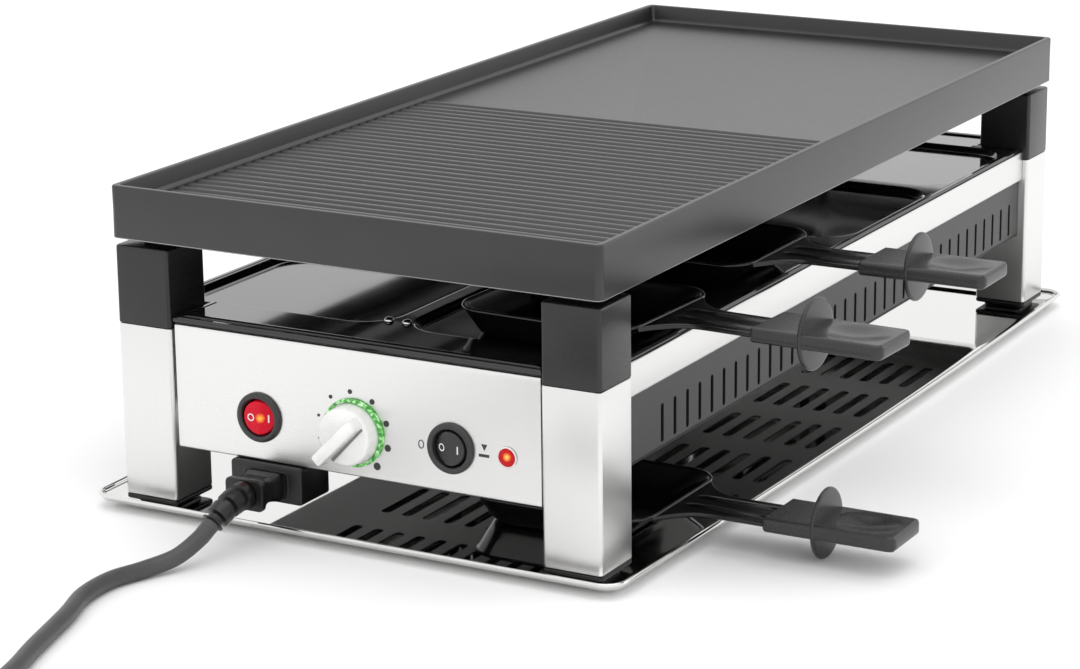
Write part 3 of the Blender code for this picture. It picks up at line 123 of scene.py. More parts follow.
def brushed(name, along, tone=0.79, rough=0.30):
    """Brushed stainless sheet, its hairlines running along one axis."""
    material, tree, bsdf = shader(name)
    across_lines, along_lines = 2600.0, 9.0
    scale = [along_lines if axis == along else across_lines for axis in "XYZ"]
    vector = place_texture(tree, scale=scale)
    lines = noise(tree, vector, 1.0, 3.0, 0.65)
    broad = noise(tree, place_texture(tree, scale=(6, 6, 6)), 1.0, 1.0)
    fill(bsdf, Metallic=1.0)
    warm = (tone, tone * 0.996, tone * 0.985)
    darker = tuple(c * 0.975 for c in warm)
    tree.links.new(ramp(tree, lines, [(0.25, darker), (0.7, warm)]), bsdf.inputs["Base Color"])
    mix = maths(tree, "ShaderNodeMath", "ADD")
    tree.links.new(span(tree, lines, rough - 0.02, rough + 0.03), mix.inputs[0])
    tree.links.new(span(tree, broad, -0.015, 0.02), mix.inputs[1])
    tree.links.new(mix.outputs["Value"], bsdf.inputs["Roughness"])
    bump(tree, bsdf, lines, 0.02, 0.00003)
    return material


def mirror_steel():
    material, tree, bsdf = shader("mirror_steel")
    wave = noise(tree, place_texture(tree, scale=(18, 18, 18)), 1.0, 1.0)
    fill(bsdf, Metallic=1.0, Base_Color=(0.74, 0.74, 0.73, 1))
    tree.links.new(span(tree, wave, 0.015, 0.035), bsdf.inputs["Roughness"])
    bump(tree, bsdf, wave, 0.05, 0.0002)
    return material


def coated(name, tone, rough, grain, strength, depth, gloss=0.5):
    """Dark satin coating with a fine orange-peel grain."""
    material, tree, bsdf = shader(name)
    vector = place_texture(tree)
    fine = noise(tree, vector, grain, 3.0, 0.6)
    mottle = noise(tree, vector, 40.0, 2.0, 0.5)
    colour = ramp(tree, mottle, [(0.3, grey(tone * 0.88)), (0.7, grey(tone * 1.12))])
    tree.links.new(colour, bsdf.inputs["Base Color"])
    tree.links.new(span(tree, fine, rough - 0.05, rough + 0.06), bsdf.inputs["Roughness"])
    fill(bsdf, Specular_IOR_Level=gloss)
    bump(tree, bsdf, fine, strength, depth)
    return material


def enamel():
    material, tree, bsdf = shader("black_gloss")
    wave = noise(tree, place_texture(tree, scale=(30, 30, 30)), 1.0, 2.0)
    fill(bsdf, Base_Color=(*grey(0.006), 1), Coat_Weight=0.4, Coat_Roughness=0.04)
    tree.links.new(span(tree, wave, 0.07, 0.10), bsdf.inputs["Roughness"])
    bump(tree, bsdf, wave, 0.06, 0.0002)
    return material


def moulded(name, tone, rough, grain=2200.0, strength=0.35, tint=(1, 1, 1), coat=0.0):
    """Moulded plastic with a fine spark-eroded grain."""
    material, tree, bsdf = shader(name)
    vector = place_texture(tree)
    fine = noise(tree, vector, grain, 2.0, 0.55)
    broad = noise(tree, vector, 55.0, 2.0, 0.5)
    low = tuple(tone * 0.90 * c for c in tint)
    high = tuple(tone * 1.10 * c for c in tint)
    tree.links.new(ramp(tree, broad, [(0.3, low), (0.7, high)]), bsdf.inputs["Base Color"])
    tree.links.new(span(tree, fine, rough - 0.05, rough + 0.05), bsdf.inputs["Roughness"])
    fill(bsdf, Coat_Weight=coat)
    bump(tree, bsdf, fine, strength, 0.00008)
    return material


def lit_lens(name, centre, reach, core, rim, glow):
    """Translucent coloured plastic, brighter round one point where its lamp sits."""
    material, tree, bsdf = shader(name)
    coords = add(tree, "ShaderNodeTexCoord")
    offset = maths(tree, "ShaderNodeVectorMath", "SUBTRACT")
    tree.links.new(coords.outputs["Object"], offset.inputs[0])
    offset.inputs[1].default_value = centre
    length = maths(tree, "ShaderNodeVectorMath", "LENGTH")
    tree.links.new(offset.outputs["Vector"], length.inputs[0])
    facets = noise(tree, place_texture(tree), 900.0, 1.0)
    near = span(tree, length.outputs["Value"], 1.0, 0.0, 0.0, reach)
    wobble = maths(tree, "ShaderNodeMath", "MULTIPLY_ADD")
    tree.links.new(facets, wobble.inputs[0])
    wobble.inputs[1].default_value = 0.35
    tree.links.new(near, wobble.inputs[2])
    between = tuple((a + b) / 2 for a, b in zip(rim, core))
    colour = ramp(tree, wobble.outputs["Value"], [(0.22, rim), (0.7, between), (1.15, core)])
    tree.links.new(colour, bsdf.inputs["Base Color"])
    tree.links.new(colour, bsdf.inputs["Emission Color"])
    strength = span(tree, wobble.outputs["Value"], glow * 0.35, glow, 0.2, 1.1)
    tree.links.new(strength, bsdf.inputs["Emission Strength"])
    fill(bsdf, Roughness=0.22, Specular_IOR_Level=0.2)
    return material


steel_x = brushed("brushed_along_x", "X")
steel_y = brushed("brushed_along_y", "Y", 0.745, 0.30)
steel_z = brushed("brushed_along_z", "Z", 0.78, 0.33)
mirror = mirror_steel()
griddle_skin = coated("griddle_skin", 0.012, 0.33, 1700.0, 0.18, 0.00005, 0.675)
pan_skin = coated("pan_skin", 0.005, 0.15, 1900.0, 0.06, 0.00003)
sheet_grey = coated("sheet_grey", 0.018, 0.40, 2200.0, 0.15, 0.00004)
base_grey = coated("base_grey", 0.006, 0.42, 2200.0, 0.15, 0.00004, 0.25)
black_gloss = enamel()
leg_plastic = moulded("leg_plastic", 0.012, 0.30, 2200.0, 0.12)
dark_plastic = moulded("dark_plastic", 0.004, 0.32)
bezel_plastic = moulded("bezel_plastic", 0.026, 0.30, 2200.0, 0.15)
grip_plastic = moulded("grip_plastic", 0.020, 0.25, 2600.0, 0.08)
cord_plastic = moulded("cord_plastic", 0.058, 0.45, 1400.0, 0.25)
connector_plastic = moulded("connector_plastic", 0.005, 0.32, 1400.0, 0.15)
rubber = moulded("rubber", 0.020, 0.62)
knob_white = moulded("knob_white", 0.86, 0.26, 1500.0, 0.05, (1.0, 0.998, 0.985), 0.35)
mark_white = moulded("mark_white", 0.85, 0.45)
print_grey = moulded("print_grey", 0.035, 0.55)
lamp_collar = moulded("lamp_collar", 0.80, 0.22, 1500.0, 0.05, (1.0, 0.97, 0.96), 0.4)
heater_skin = coated("heater_skin", 0.045, 0.50, 700.0, 0.5, 0.00015)
clay = moulded("clay", 0.62, 0.65, 500.0, 0.4, (1.0, 0.96, 0.88))


def plain_metal(name, colour, scale, rough, rougher):
    material, tree, bsdf = shader(name)
    lines = noise(tree, place_texture(tree, scale=scale), 1.0, 2.0)
    fill(bsdf, Metallic=1.0, Base_Color=(*colour, 1))
    tree.links.new(span(tree, lines, rough, rougher), bsdf.inputs["Roughness"])
    return material


# Lighter grey metal for the griddle foot's rounded edge: a painted highlight, not the casting's own colour
painted_edge_highlight = plain_metal("painted_edge_highlight", (0.42, 0.42, 0.42), (900, 900, 900), 0.35, 0.43)
brass = plain_metal("brass_skin", (0.80, 0.60, 0.28), (1, 3000, 1), 0.2, 0.34)


# Ways of making a piece

def stand(name, data):
    """A new object, linked into the scene."""
    item = bpy.data.objects.new(name, data)
    bpy.context.scene.collection.objects.link(item)
    return item


def circle(cx, cy, radius, steps=32):
    return [
        (cx + radius * math.cos(math.tau * n / steps), cy + radius * math.sin(math.tau * n / steps))
        for n in range(steps)
    ]


def outward(bm):
    bmesh.ops.recalc_face_normals(bm, faces=bm.faces)
    if bm.calc_volume(signed=True) < 0:
        bmesh.ops.reverse_faces(bm, faces=bm.faces)
    return bm


def piece(name, bm, material, body, replaces=(), sharp=35, slot=None, recalc=True):
    """A mesh in the scene from a bmesh in world metres, riding on a body."""
    if recalc:
        outward(bm)
    mesh = bpy.data.meshes.new(name)
    bm.to_mesh(mesh)
    bm.free()
    item = stand(name, mesh)
    mesh.materials.append(material)
    mesh.shade_smooth()
    mesh.set_sharp_from_angle(angle=math.radians(sharp))
    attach(item, body)
    if replaces:
        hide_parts(*replaces)
    return item


def loft(rings, caps=True, closed=False):
    bm = bmesh.new()
    rows = [[bm.verts.new(point) for point in ring] for ring in rings]
    count = len(rows[0])
    pairs = list(zip(rows, rows[1:]))
    if closed:
        pairs.append((rows[-1], rows[0]))
    for low, high in pairs:
        for n in range(count):
            m = (n + 1) % count
            bm.faces.new((low[n], low[m], high[m], high[n]))
    if caps and not closed:
        bm.faces.new(rows[0])
        bm.faces.new(rows[-1])
    return bm


def absorb(target, other):
    """Adds a bmesh to another as it is."""
    mesh = bpy.data.meshes.new("part")
    other.to_mesh(mesh)
    other.free()
    target.from_mesh(mesh)
    bpy.data.meshes.remove(mesh)


def join(target, other):
    """Adds a closed bmesh to another, its faces turned outward."""
    absorb(target, outward(other))


def ring2(half_x, half_y, corner, centre=(0, 0), steps=6):
    """Points of a rectangle with round corners, counter-clockwise, as pairs."""
    points = []
    corner = max(corner, 0.01)
    for side_x, side_y, quarter in ((1, 1, 0), (-1, 1, 1), (-1, -1, 2), (1, -1, 3)):
        for step in range(steps + 1):
            angle = math.pi / 2 * (quarter + step / steps)
            points.append((
                centre[0] + side_x * (half_x - corner) + corner * math.cos(angle),
                centre[1] + side_y * (half_y - corner) + corner * math.sin(angle),
            ))
    return points


def flat_ring(half_x, half_y, corner, z, centre=(0, 0), steps=6):
    return [at(x, y, z) for x, y in ring2(half_x, half_y, corner, centre, steps)]


def arc(cx, cy, radius, start, end, steps):
    """Points of an arc in a section, as pairs; angles in degrees."""
    points = []
    for n in range(steps + 1):
        angle = math.radians(start + (end - start) * n / steps)
        points.append((cx + radius * math.cos(angle), cy + radius * math.sin(angle)))
    return points


def plate(outlines, thickness, to_world):
    """A flat sheet from closed outlines, holes included, about the plane's zero."""
    curve = bpy.data.curves.new("plate", "CURVE")
    curve.dimensions = "2D"
    curve.fill_mode = "BOTH"
    curve.extrude = thickness / 2
    for outline in outlines:
        spline = curve.splines.new("POLY")
        spline.points.add(len(outline) - 1)
        for point, (x, y) in zip(spline.points, outline):
            point.co = (x, y, 0, 1)
        spline.use_cyclic_u = True
    holder = stand("plate", curve)
    graph = bpy.context.evaluated_depsgraph_get()
    mesh = bpy.data.meshes.new_from_object(holder.evaluated_get(graph))
    bpy.data.objects.remove(holder)
    bm = bmesh.new()
    bm.from_mesh(mesh)
    bpy.data.meshes.remove(mesh)
    bmesh.ops.remove_doubles(bm, verts=bm.verts, dist=0.0005)
    for vert in bm.verts:
        vert.co = to_world(*vert.co)
    return bm


def lathe(profile, centre, axis, steps=64, closed=False):
    """A turned solid: profile of (radius, height) in mm, its axis along a world direction."""
    axis = Vector(axis).normalized()
    side = axis.orthogonal().normalized()
    other = axis.cross(side)
    rings = []
    for radius, height in profile:
        rings.append([Vector(centre) + (axis * height + side * a + other * b) * MM
                      for a, b in circle(0, 0, max(radius, 0.001), steps)])
    return loft(rings, closed=closed)


def mark(name, outlines):
    """A printed mark on the front panel: outlines in x and z, standing just off the sheet."""
    bm = plate(outlines, 0.12, lambda a, b, c: at(a, PANEL_Y - 0.09 - c, b))
    piece(name, bm, print_grey, "base")


# Sizes shared with the frame, in mm
HALF_X, HALF_Y = 132.5, 281.5
LEG_X, LEG_Y, LEG = 116.25, 265.25, 15.25
SEAT_IN = 3.0
PANEL_Y = -278.3
CONTROL_Z, SWITCH_X, LAMP_X = 57.0, 52.6, 82.3
DECK = 100.0
FLOOR = 3.0
ROUNDING = (0.4, 0.8, 1.2, 1.57)
CORNERS = (("front_left", -1, -1), ("front_right", 1, -1), ("rear_left", -1, 1), ("rear_right", 1, 1))
SIDES = (("right", 1), ("left", -1))
SIDE_Y = 249.5


# Griddle: casting with rounded rim, draft inside, and a ribbed front half
def build_griddle():
    top, bottom, floor = 162.0, 136.2, 152.0
    wall, edge = 3.4, 0.9

    def ring(inset, z):
        return flat_ring(HALF_X - inset, HALF_Y - inset, max(3.6 - inset * 0.45, 1.4), z)

    foot_r = 0.55
    section = [(4.2, 147.0), (3.6, 138.0), (wall, bottom), (foot_r, bottom)]
    section += [(foot_r - foot_r * math.sin(a), bottom + foot_r - foot_r * math.cos(a))
                for a in (0.5, 1.0, 1.57)]
    section += [(0.12, 150.0)]
    section += [(edge - edge * math.cos(a), top - edge + edge * math.sin(a)) for a in (0.0, *ROUNDING)]
    section += [(wall - 0.7 + 0.7 * math.sin(a), top - 0.7 + 0.7 * math.cos(a)) for a in (0.0, 0.5, 1.0, 1.57)]
    fillet = 2.2
    base_inset = wall + 0.7
    section += [(base_inset, floor + fillet)]
    section += [
        (base_inset + fillet - fillet * math.cos(a), floor + fillet - fillet * math.sin(a)) for a in ROUNDING
    ]
    bm = loft([ring(inset, z) for inset, z in section])
    body = piece("griddle_body", bm, griddle_skin, "griddle", ("griddle",), sharp=40, slot="griddle_coating")
    body.data.materials.append(painted_edge_highlight)
    # The foot's rounded outer edge gets a lighter grey metal, a painted highlight line along the bottom edge
    for face in body.data.polygons:
        middle = (body.matrix_world @ face.center).z / MM
        if bottom + 0.02 < middle < bottom + 0.56 and abs(face.normal.z) < 0.98:
            face.material_index = 1

    pitch, count = 8.3, 32
    slope = ((-3.3, -0.4), (-2.9, 0.05), (-2.3, 0.5), (-1.75, 1.0), (-1.1, 1.27))
    crown = (*slope, (0.0, 1.34), *((-a, h) for a, h in reversed(slope)))
    half = HALF_X - base_inset - fillet - 0.6
    ribs = bmesh.new()
    for n in range(count):
        y = -pitch * (n + 0.5)
        rings = []
        for share, x in ((0.10, -half), (0.55, -half + 0.5), (0.9, -half + 1.3), (1.0, -half + 2.6),
                         (1.0, half - 2.6), (0.9, half - 1.3), (0.55, half - 0.5), (0.10, half)):
            rings.append([at(x, y + a * (0.75 + 0.25 * share), floor + (h * share if h > 0 else h))
                          for a, h in crown])
        join(ribs, loft(rings))
    piece("griddle_ribs", ribs, griddle_skin, "griddle", sharp=50, recalc=False, slot="griddle_coating")
    bosses = bmesh.new()
    for sx in (-1, 1):
        for sy in (-1, 1):
            x, y = sx * (LEG_X - SEAT_IN), sy * (LEG_Y - SEAT_IN)
            join(bosses, loft([flat_ring(h, h, 1.6, z, (x, y), 3)
                               for h, z in ((8.1, 136.2), (8.5, 136.6), (8.7, 147.5))]))
    piece("griddle_bosses", bosses, griddle_skin, "griddle", recalc=False, slot="griddle_coating")


# Legs: steel sleeve, black cap with its seat, foot plug and rubber pad
def build_legs():
    for name, sx, sy in CORNERS:
        x, y = sx * LEG_X, sy * LEG_Y

        def ring(inset, z, corner=1.9):
            return flat_ring(LEG - inset, LEG - inset, corner, z, (x, y))

        low, high, t = 8.2, 94.2, 1.2
        rings = [ring(*row) for row in (
            (0.35, low), (0.1, low + 0.15), (0, low + 0.45), (0, high - 0.45), (0.1, high - 0.15), (0.35, high),
            (t, high, 1.0), (t, low, 1.0))]
        piece(f"sleeve_{name}", loft(rings, closed=True), steel_z, "base",
              (f"leg_sleeve_{name}",), sharp=50, slot="brushed_steel")
        seat = (x - sx * SEAT_IN, y - sy * SEAT_IN)
        bottom, top, r = 94.5, 132.9, 1.1
        rings = [ring(*row) for row in (
            (1.5, bottom - 10), (1.5, bottom), (0.4, bottom), (0.08, bottom + 0.2), (0, bottom + 0.6),
            (0.05, top - 1.3))]
        rings += [ring(0.05 + r - r * math.cos(a), top - r + r * math.sin(a)) for a in ROUNDING]
        rings += [flat_ring(half, half, 1.2, z, seat)
                  for half, z in ((8.5, top), (8.5, top + 2.3), (8.2, top + 2.65))]
        piece(f"cap_{name}", loft(rings), leg_plastic, "base",
              (f"leg_cap_{name}",), sharp=50, slot="black_plastic")
        base = 5.5
        rings = [ring(*row) for row in (
            (4.3, FLOOR + 0.35), (4.0, FLOOR + 0.7), (4.0, base), (0.5, base), (0, base + 0.5), (0, 7.5),
            (0.4, 7.88), (1.5, 7.9), (1.5, 16.2), (2.2, 16.9))]
        piece(f"foot_{name}", loft(rings), dark_plastic, "base",
              (f"leg_foot_{name}",), sharp=50, slot="black_plastic")
        profile = [(0, 1.7), (8.6, 1.7), (8.95, 1.55), (9.0, 1.2), (9.0, 0.7), (8.7, 0.25), (8.2, 0.02),
                   (0, 0.02)]
        piece(f"pad_{name}", lathe(profile, at(x, y, 0), (0, 0, 1), 40), rubber, "base",
              (f"rubber_foot_{name}",), slot="black_rubber")


# Drip tray: mirror sheet, sloped border, rolled bead, long sides slightly bowed
def tray_outline(inset, z):
    steps, side_steps, middle, bow = 12, 24, -2.0, 3.8
    half_x, half_y = 145.6 - inset, 289.0 - inset
    corner = max(11.0 - inset, 4.4)
    straight = half_y - corner
    points = ring2(half_x, half_y, corner, (middle, 0.0), steps)
    bowed = []
    for n, (x, y) in enumerate(points):
        bowed.append(at(x, y, z))
        right_ends = n == len(points) - 1
        left_starts = n == 2 * (steps + 1) - 1
        if right_ends or left_starts:
            side = 1 if right_ends else -1
            for step in range(1, side_steps):
                share = 2 * step / side_steps - 1
                out = half_x + bow * (1 - share ** 2)
                bowed.append(at(middle + side * out, side * straight * share, z))
    return bowed


def build_tray():
    rim, r = 5.2, 1.0
    section = [(60.0, 0.0), (14.0, 0.0), (10.2, 0.0), (9.0, 0.04), (7.8, 0.35), (6.6, 0.85), (5.4, 1.45),
               (4.4, 1.95), (3.6, 2.25), (2.9, 2.42), (2.25, 2.6)]
    for degrees in range(165, -61, -25):
        angle = math.radians(degrees)
        section.append((r - r * math.cos(angle), rim - r + r * math.sin(angle)))
    section += [(1.6, 1.75), (3.2, 1.2), (5.4, 0.4), (7.4, -0.5), (8.9, -0.96), (11.0, -1.0), (14.0, -1.0),
                (60.0, -1.0)]
    rings = [tray_outline(inset, FLOOR + z) for inset, z in section]
    piece("tray_sheet", loft(rings), mirror, "base", ("drip_tray",), sharp=60, slot="polished_steel")


# Housing: folded panels, rails, slotted grilles and the slotted base
def fold_section(height, flange, sheet=1.0, radius=1.2):
    """A sheet folded inward at head and foot, with round outer folds: (depth, height) pairs."""
    outer = arc(radius, radius, radius, 270, 180, 5) + arc(radius, height - radius, radius, 180, 90, 5)
    inner_r = max(radius - sheet, 0.2)
    inner = arc(radius, height - radius, inner_r, 90, 180, 3) + arc(radius, radius, inner_r, 180, 270, 3)
    return ([(flange, 0)] + outer + [(flange, height), (flange, height - sheet)] + inner + [(flange, sheet)])


def extrude_section(section, low, high, to_world):
    return loft([[to_world(a, b, low) for a, b in section], [to_world(a, b, high) for a, b in section]])


def build_panels():
    z0, height, half, flange = 35.4, 61.5, 99.8, 8.0
    section = fold_section(height, flange)
    bm = extrude_section(section, -half, half, lambda a, b, c: at(c, -PANEL_Y - a, z0 + b))
    piece("panel_rear", bm, steel_x, "base", ("rear_panel",), sharp=50, slot="brushed_steel")
    # The front panel: a face with its holes between a folded foot and a folded head
    cut = 3.0
    holes = [circle(-SWITCH_X, CONTROL_Z, 10.9, 48), circle(SWITCH_X, CONTROL_Z, 10.9, 48),
             circle(0.0, CONTROL_Z, 4.0), circle(LAMP_X, CONTROL_Z, 3.9)]
    rim = [(-half, z0 + cut), (half, z0 + cut), (half, z0 + height - cut), (-half, z0 + height - cut)]
    bm = outward(plate([rim] + holes, 1.0, lambda a, b, c: at(a, PANEL_Y + 0.5 + c, b)))
    corner = arc(1.2, 1.2, 1.2, 270, 180, 5)
    foot = [(flange, 0.0), *corner, (0.0, cut), (1.0, cut), (1.0, 1.2), (1.2, 1.0), (flange, 1.0)]
    join(bm, extrude_section(foot, -half, half, lambda a, b, c: at(c, PANEL_Y + a, z0 + b)))
    join(bm, extrude_section(foot, -half, half, lambda a, b, c: at(c, PANEL_Y + a, z0 + height - b)))
    piece("panel_front", bm, steel_x, "base", ("front_panel",), sharp=50, recalc=False, slot="brushed_steel")
    low, tall, ledge = 82.0, 17.0, 14.9
    section = [(5.0, 0.0), *corner, (0.0, tall - 0.5), (0.15, tall - 0.15), (0.5, tall), (0.85, tall - 0.15),
               (1.0, tall - 0.5), (1.0, ledge), (5.0, ledge), (5.0, ledge - 1.0), (1.0, ledge - 1.0),
               (1.0, 1.2), (1.2, 1.0), (5.0, 1.0)]
    for name, side in SIDES:
        bm = extrude_section(section, -SIDE_Y, SIDE_Y, lambda a, b, c: at(side * (128.0 - a), c, low + b))
        piece(f"rail_{name}", bm, steel_y, "base", (f"side_rail_{name}",), sharp=50, slot="brushed_steel")


def slot_outline(cx, cy, width, length):
    """A slot with round ends, its long side along the second axis."""
    r = width / 2
    reach = length / 2 - r
    return arc(cx, cy + reach, r, 0, 180, 6) + arc(cx, cy - reach, r, 180, 360, 6)


def build_grilles():
    low, high = 49.8, 81.7
    first, pitch, count = -209.7, 13.1, 35
    outline = [(-SIDE_Y, low), (SIDE_Y, low), (SIDE_Y, high), (-SIDE_Y, high)]
    slots = [slot_outline(first + n * pitch, low + 10.9, 3.0, 19.0) for n in range(count)]
    for name, side in SIDES:
        bm = plate([outline] + slots, 1.0, lambda a, b, c: at(side * (125.5 + c), a, b))
        piece(f"grille_{name}", bm, sheet_grey, "base", (f"side_grille_{name}",), slot="dark_sheet")
    wide, narrow, rear = 125.9, 99.8, 277.0
    outline = [(-wide, -SIDE_Y), (wide, -SIDE_Y), (wide, SIDE_Y), (narrow, SIDE_Y), (narrow, rear),
               (-narrow, rear), (-narrow, SIDE_Y), (-wide, SIDE_Y)]
    slots = []
    for column in range(14):
        for row in range(8):
            middle = -236.25 + 67.5 * row
            low, high = max(middle - 22.0, -245.5), middle + 22.0
            slots.append(slot_outline((column - 6.5) * 12.7, (low + high) / 2, 5.8, high - low))
    bm = plate([outline] + slots, 1.0, lambda a, b, c: at(a, b, 49.0 + c))
    piece("base_sheet", bm, base_grey, "base", ("base_plate",), slot="dark_sheet")


# Pan shelf: glossy pressed sheet, eight wells with soft shoulders, a rolled edge
def cross_outline(inset):
    a, b = 126.5 - inset, 278.8 - inset
    c, d = 100.4 - inset, 249.4 - inset
    return [(a, d), (c, d), (c, b), (-c, b), (-c, d), (-a, d),
            (-a, -d), (-c, -d), (-c, -b), (c, -b), (c, -d), (a, -d)]


def well_places():
    """Middle and half sizes of each of the eight pan places."""
    inner, outer, half, end = 3.5, 122.8, 64.0, 245.6
    for side in (-1, 1):
        for station in (-202.5, -67.5, 67.5, 202.5):
            low, high = max(station - half, -end), min(station + half, end)
            yield (side * (outer + inner) / 2, (low + high) / 2), (outer - inner) / 2, (high - low) / 2


def build_shelf():
    r = 1.7
    top = DECK + 0.6
    roll = 3.3
    edge = [(roll, DECK), (3.15, DECK + 0.06), (2.95, DECK + 0.18), (2.75, DECK + 0.3)]
    for degrees in (120, 90, 60, 30, 0, -30):
        angle = math.radians(degrees)
        edge.append((r - r * math.cos(angle), top - r + r * math.sin(angle)))
    edge = [(max(a, 0.0), b) for a, b in edge]
    edge += [(0.75, top - 2.3), (0.55, top - 2.7), (0.3, top - 3.0), (0.9, top - 3.4), (4.0, top - 3.4)]
    wells = []
    corner = 21.0
    shoulder = [(0.0, 0.0), (0.35, -0.03), (0.8, -0.18), (1.3, -0.55), (2.0, -1.35), (2.7, -2.15),
                (3.3, -2.72), (3.9, -3.03), (4.6, -3.17), (5.4, -3.2)]
    for centre, half_x, half_y in well_places():
        rings = [flat_ring(half_x - inset, half_y - inset, corner - inset * 0.6, DECK + dz, centre, 10)
                 for inset, dz in shoulder]
        sheet = loft(rings, caps=False)
        sheet.verts.ensure_lookup_table()
        sheet.faces.new(sheet.verts[-len(rings[0]):])
        wells.append((sheet, ring2(half_x, half_y, corner, centre, 10)))
    outlines = [cross_outline(roll)] + [outline for _, outline in wells]
    deck = plate(outlines, 0.0, lambda a, b, c: at(a, b, DECK))
    bm = bmesh.new()
    rolled = loft([[at(x, y, z) for x, y in cross_outline(inset)] for inset, z in edge], caps=False)
    for part in [rolled] + [sheet for sheet, _ in wells] + [deck]:
        absorb(bm, part)
    bmesh.ops.remove_doubles(bm, verts=bm.verts, dist=0.00002)
    bmesh.ops.recalc_face_normals(bm, faces=bm.faces)
    if sum(face.normal.z * face.calc_area() for face in bm.faces) < 0:
        bmesh.ops.reverse_faces(bm, faces=bm.faces)
    shelf = piece("shelf_sheet", bm, black_gloss, "base", ("pan_shelf",),
                  sharp=24, recalc=False, slot="black_enamel")
    # The deck and the wells' floors stay flat, so that they mirror straight
    for face in shelf.data.polygons:
        if abs(face.normal.z) > 0.9999:
            face.use_smooth = False
    under = shelf.modifiers.new("sheet_thickness", "SOLIDIFY")
    under.thickness = 0.5 * MM
    under.offset = -1.0
    ridges = bmesh.new()
    for side in (-1, 1):
        rows = []
        for x, rise in ((-99.6, 0.0), (-97.5, 0.7), (-95.5, 1.0), (95.5, 1.0), (97.5, 0.7), (99.6, 0.0)):
            row = [at(x, side * (272.6 + 1.8 * math.cos(a)), DECK + 0.02 + 1.15 * rise * math.sin(a))
                   for a in (0.0, 0.35, 0.7, 1.05, 1.4, 1.75, 2.1, 2.45, 2.8, math.pi)]
            rows.append(row + [at(x, side * 270.8, DECK - 0.3), at(x, side * 274.4, DECK - 0.3)])
        join(ridges, loft(rows))
    piece("shelf_ridges", ridges, black_gloss, "base", sharp=50, recalc=False, slot="black_enamel")
    dome = [(2.4 * math.sin(a), 1.8 * math.cos(a)) for a in (0.2, 0.45, 0.7, 0.95, 1.2, 1.4)]
    dome = [(0, 1.8), *dome, (2.4, 0.0), (0, 0.0)]
    for name, x in (("left", -5.0), ("right", 5.0)):
        piece(f"screw_{name}", lathe(dome, at(x, -237.0, DECK + 0.3), (0, 0, 1), 40), mirror, "base",
              (f"shelf_screw_{name}",), slot="polished_steel")


# Controls on the front panel
FRONT = (0, -1, 0)


def build_switches():
    bezel = [(9.1, -6.2), (9.1, 1.0), (9.35, 1.75), (9.8, 2.15), (10.3, 2.2), (11.3, 2.05), (11.9, 1.7),
             (12.2, 1.15), (12.25, 0.3), (10.6, 0.3), (10.6, -16.9), (0, -16.9), (0, -6.2)]
    for name, x, lens in (("power", -SWITCH_X, True), ("mode", SWITCH_X, False)):
        face = at(x, PANEL_Y, CONTROL_Z)
        piece(f"{name}_bezel", lathe(bezel, face, FRONT, 72, closed=True), bezel_plastic, "base",
              (f"{name}_switch",), sharp=40, slot="black_plastic")
        tilt, radius, crest = math.radians(9.0), 8.25, -3.4
        slope = math.tan(tilt)
        turn = Matrix.Rotation(tilt if lens else -tilt, 3, "Z")
        pivot = Vector((x, PANEL_Y + 1.4, CONTROL_Z))

        def place(a, b, c):
            return at(*(turn @ Vector((a, b, c)) + pivot))

        def hollow(across):
            """Depth below the crest, which is rounded where the two halves meet."""
            return (math.sqrt(across * across + 0.16) - 0.4) * slope

        rings = [[place(a, 2.5, c) for a, c in circle(0, 0, radius, 72)]]
        for inset, lift in ((0.0, -0.9), (0.05, -0.45), (0.25, -0.12), (0.6, 0.0)):
            rings.append([place(a, crest - lift + abs(a) * slope, c)
                          for a, c in circle(0, 0, radius - inset, 72)])
        for step in range(1, 14):
            reach = (radius - 0.6) * (1 - step / 14)
            rings.append([place(a, crest + max(hollow(a), 0), c) for a, c in circle(0, 0, reach, 72)])
        if lens:
            centre = place(0.8, -3.0, 0.0)
            material = lit_lens("lens_red", centre, 0.0028, (1.0, 0.40, 0.05), (0.56, 0.003, 0.020), 0.50)
            slot = "red_light"
        else:
            material, slot = bezel_plastic, "black_plastic"
        body = f"{name}_rocker"
        piece(f"{name}_button", loft(rings), material, body, (body,), sharp=40, slot=slot)
        bar = [(4.7, -1.9), (5.35, -1.9), (5.35, 1.9), (4.7, 1.9)]
        for label, outlines in (("off", [circle(-4.2, 0, 1.85), circle(-4.2, 0, 1.3)]), ("on", [bar])):
            bm = plate(outlines, 0.08, lambda a, b, c: place(a, crest + hollow(a) - 0.10 - c, b))
            piece(f"{name}_{label}_mark", bm, mark_white, body)


def build_dial_ring():
    """The lit ring round the dial, faceted like pressed glass."""
    profile = [(15.1, 0.35), (15.1, 2.3), (15.3, 2.55), (15.8, 2.6), (16.2, 2.3), (16.5, 1.6), (16.6, 0.35)]
    steps = 144
    ring = lathe(profile, at(0, PANEL_Y, CONTROL_Z), FRONT, steps, closed=True)
    ring.verts.ensure_lookup_table()
    for n in range(steps):
        pulse = 0.35 * math.sin(n * math.tau / 6) * MM
        for row in (2, 3, 4):
            ring.verts[row * steps + n].co += Vector((0, pulse, 0))
    material, tree, bsdf = shader("green_ring")
    facets = noise(tree, place_texture(tree), 520.0, 2.0, 0.6)
    dark, mid, pale = (0.012, 0.16, 0.012), (0.07, 0.46, 0.05), (0.66, 0.95, 0.60)
    colour = ramp(tree, facets, [(0.32, dark), (0.5, mid), (0.70, pale)])
    tree.links.new(colour, bsdf.inputs["Base Color"])
    tree.links.new(colour, bsdf.inputs["Emission Color"])
    fill(bsdf, Emission_Strength=0.22, Roughness=0.12, Coat_Weight=0.6)
    bump(tree, bsdf, facets, 0.6, 0.0006)
    piece("dial_ring", ring, material, "base", ("knob_ring",), sharp=30, slot="green_light")


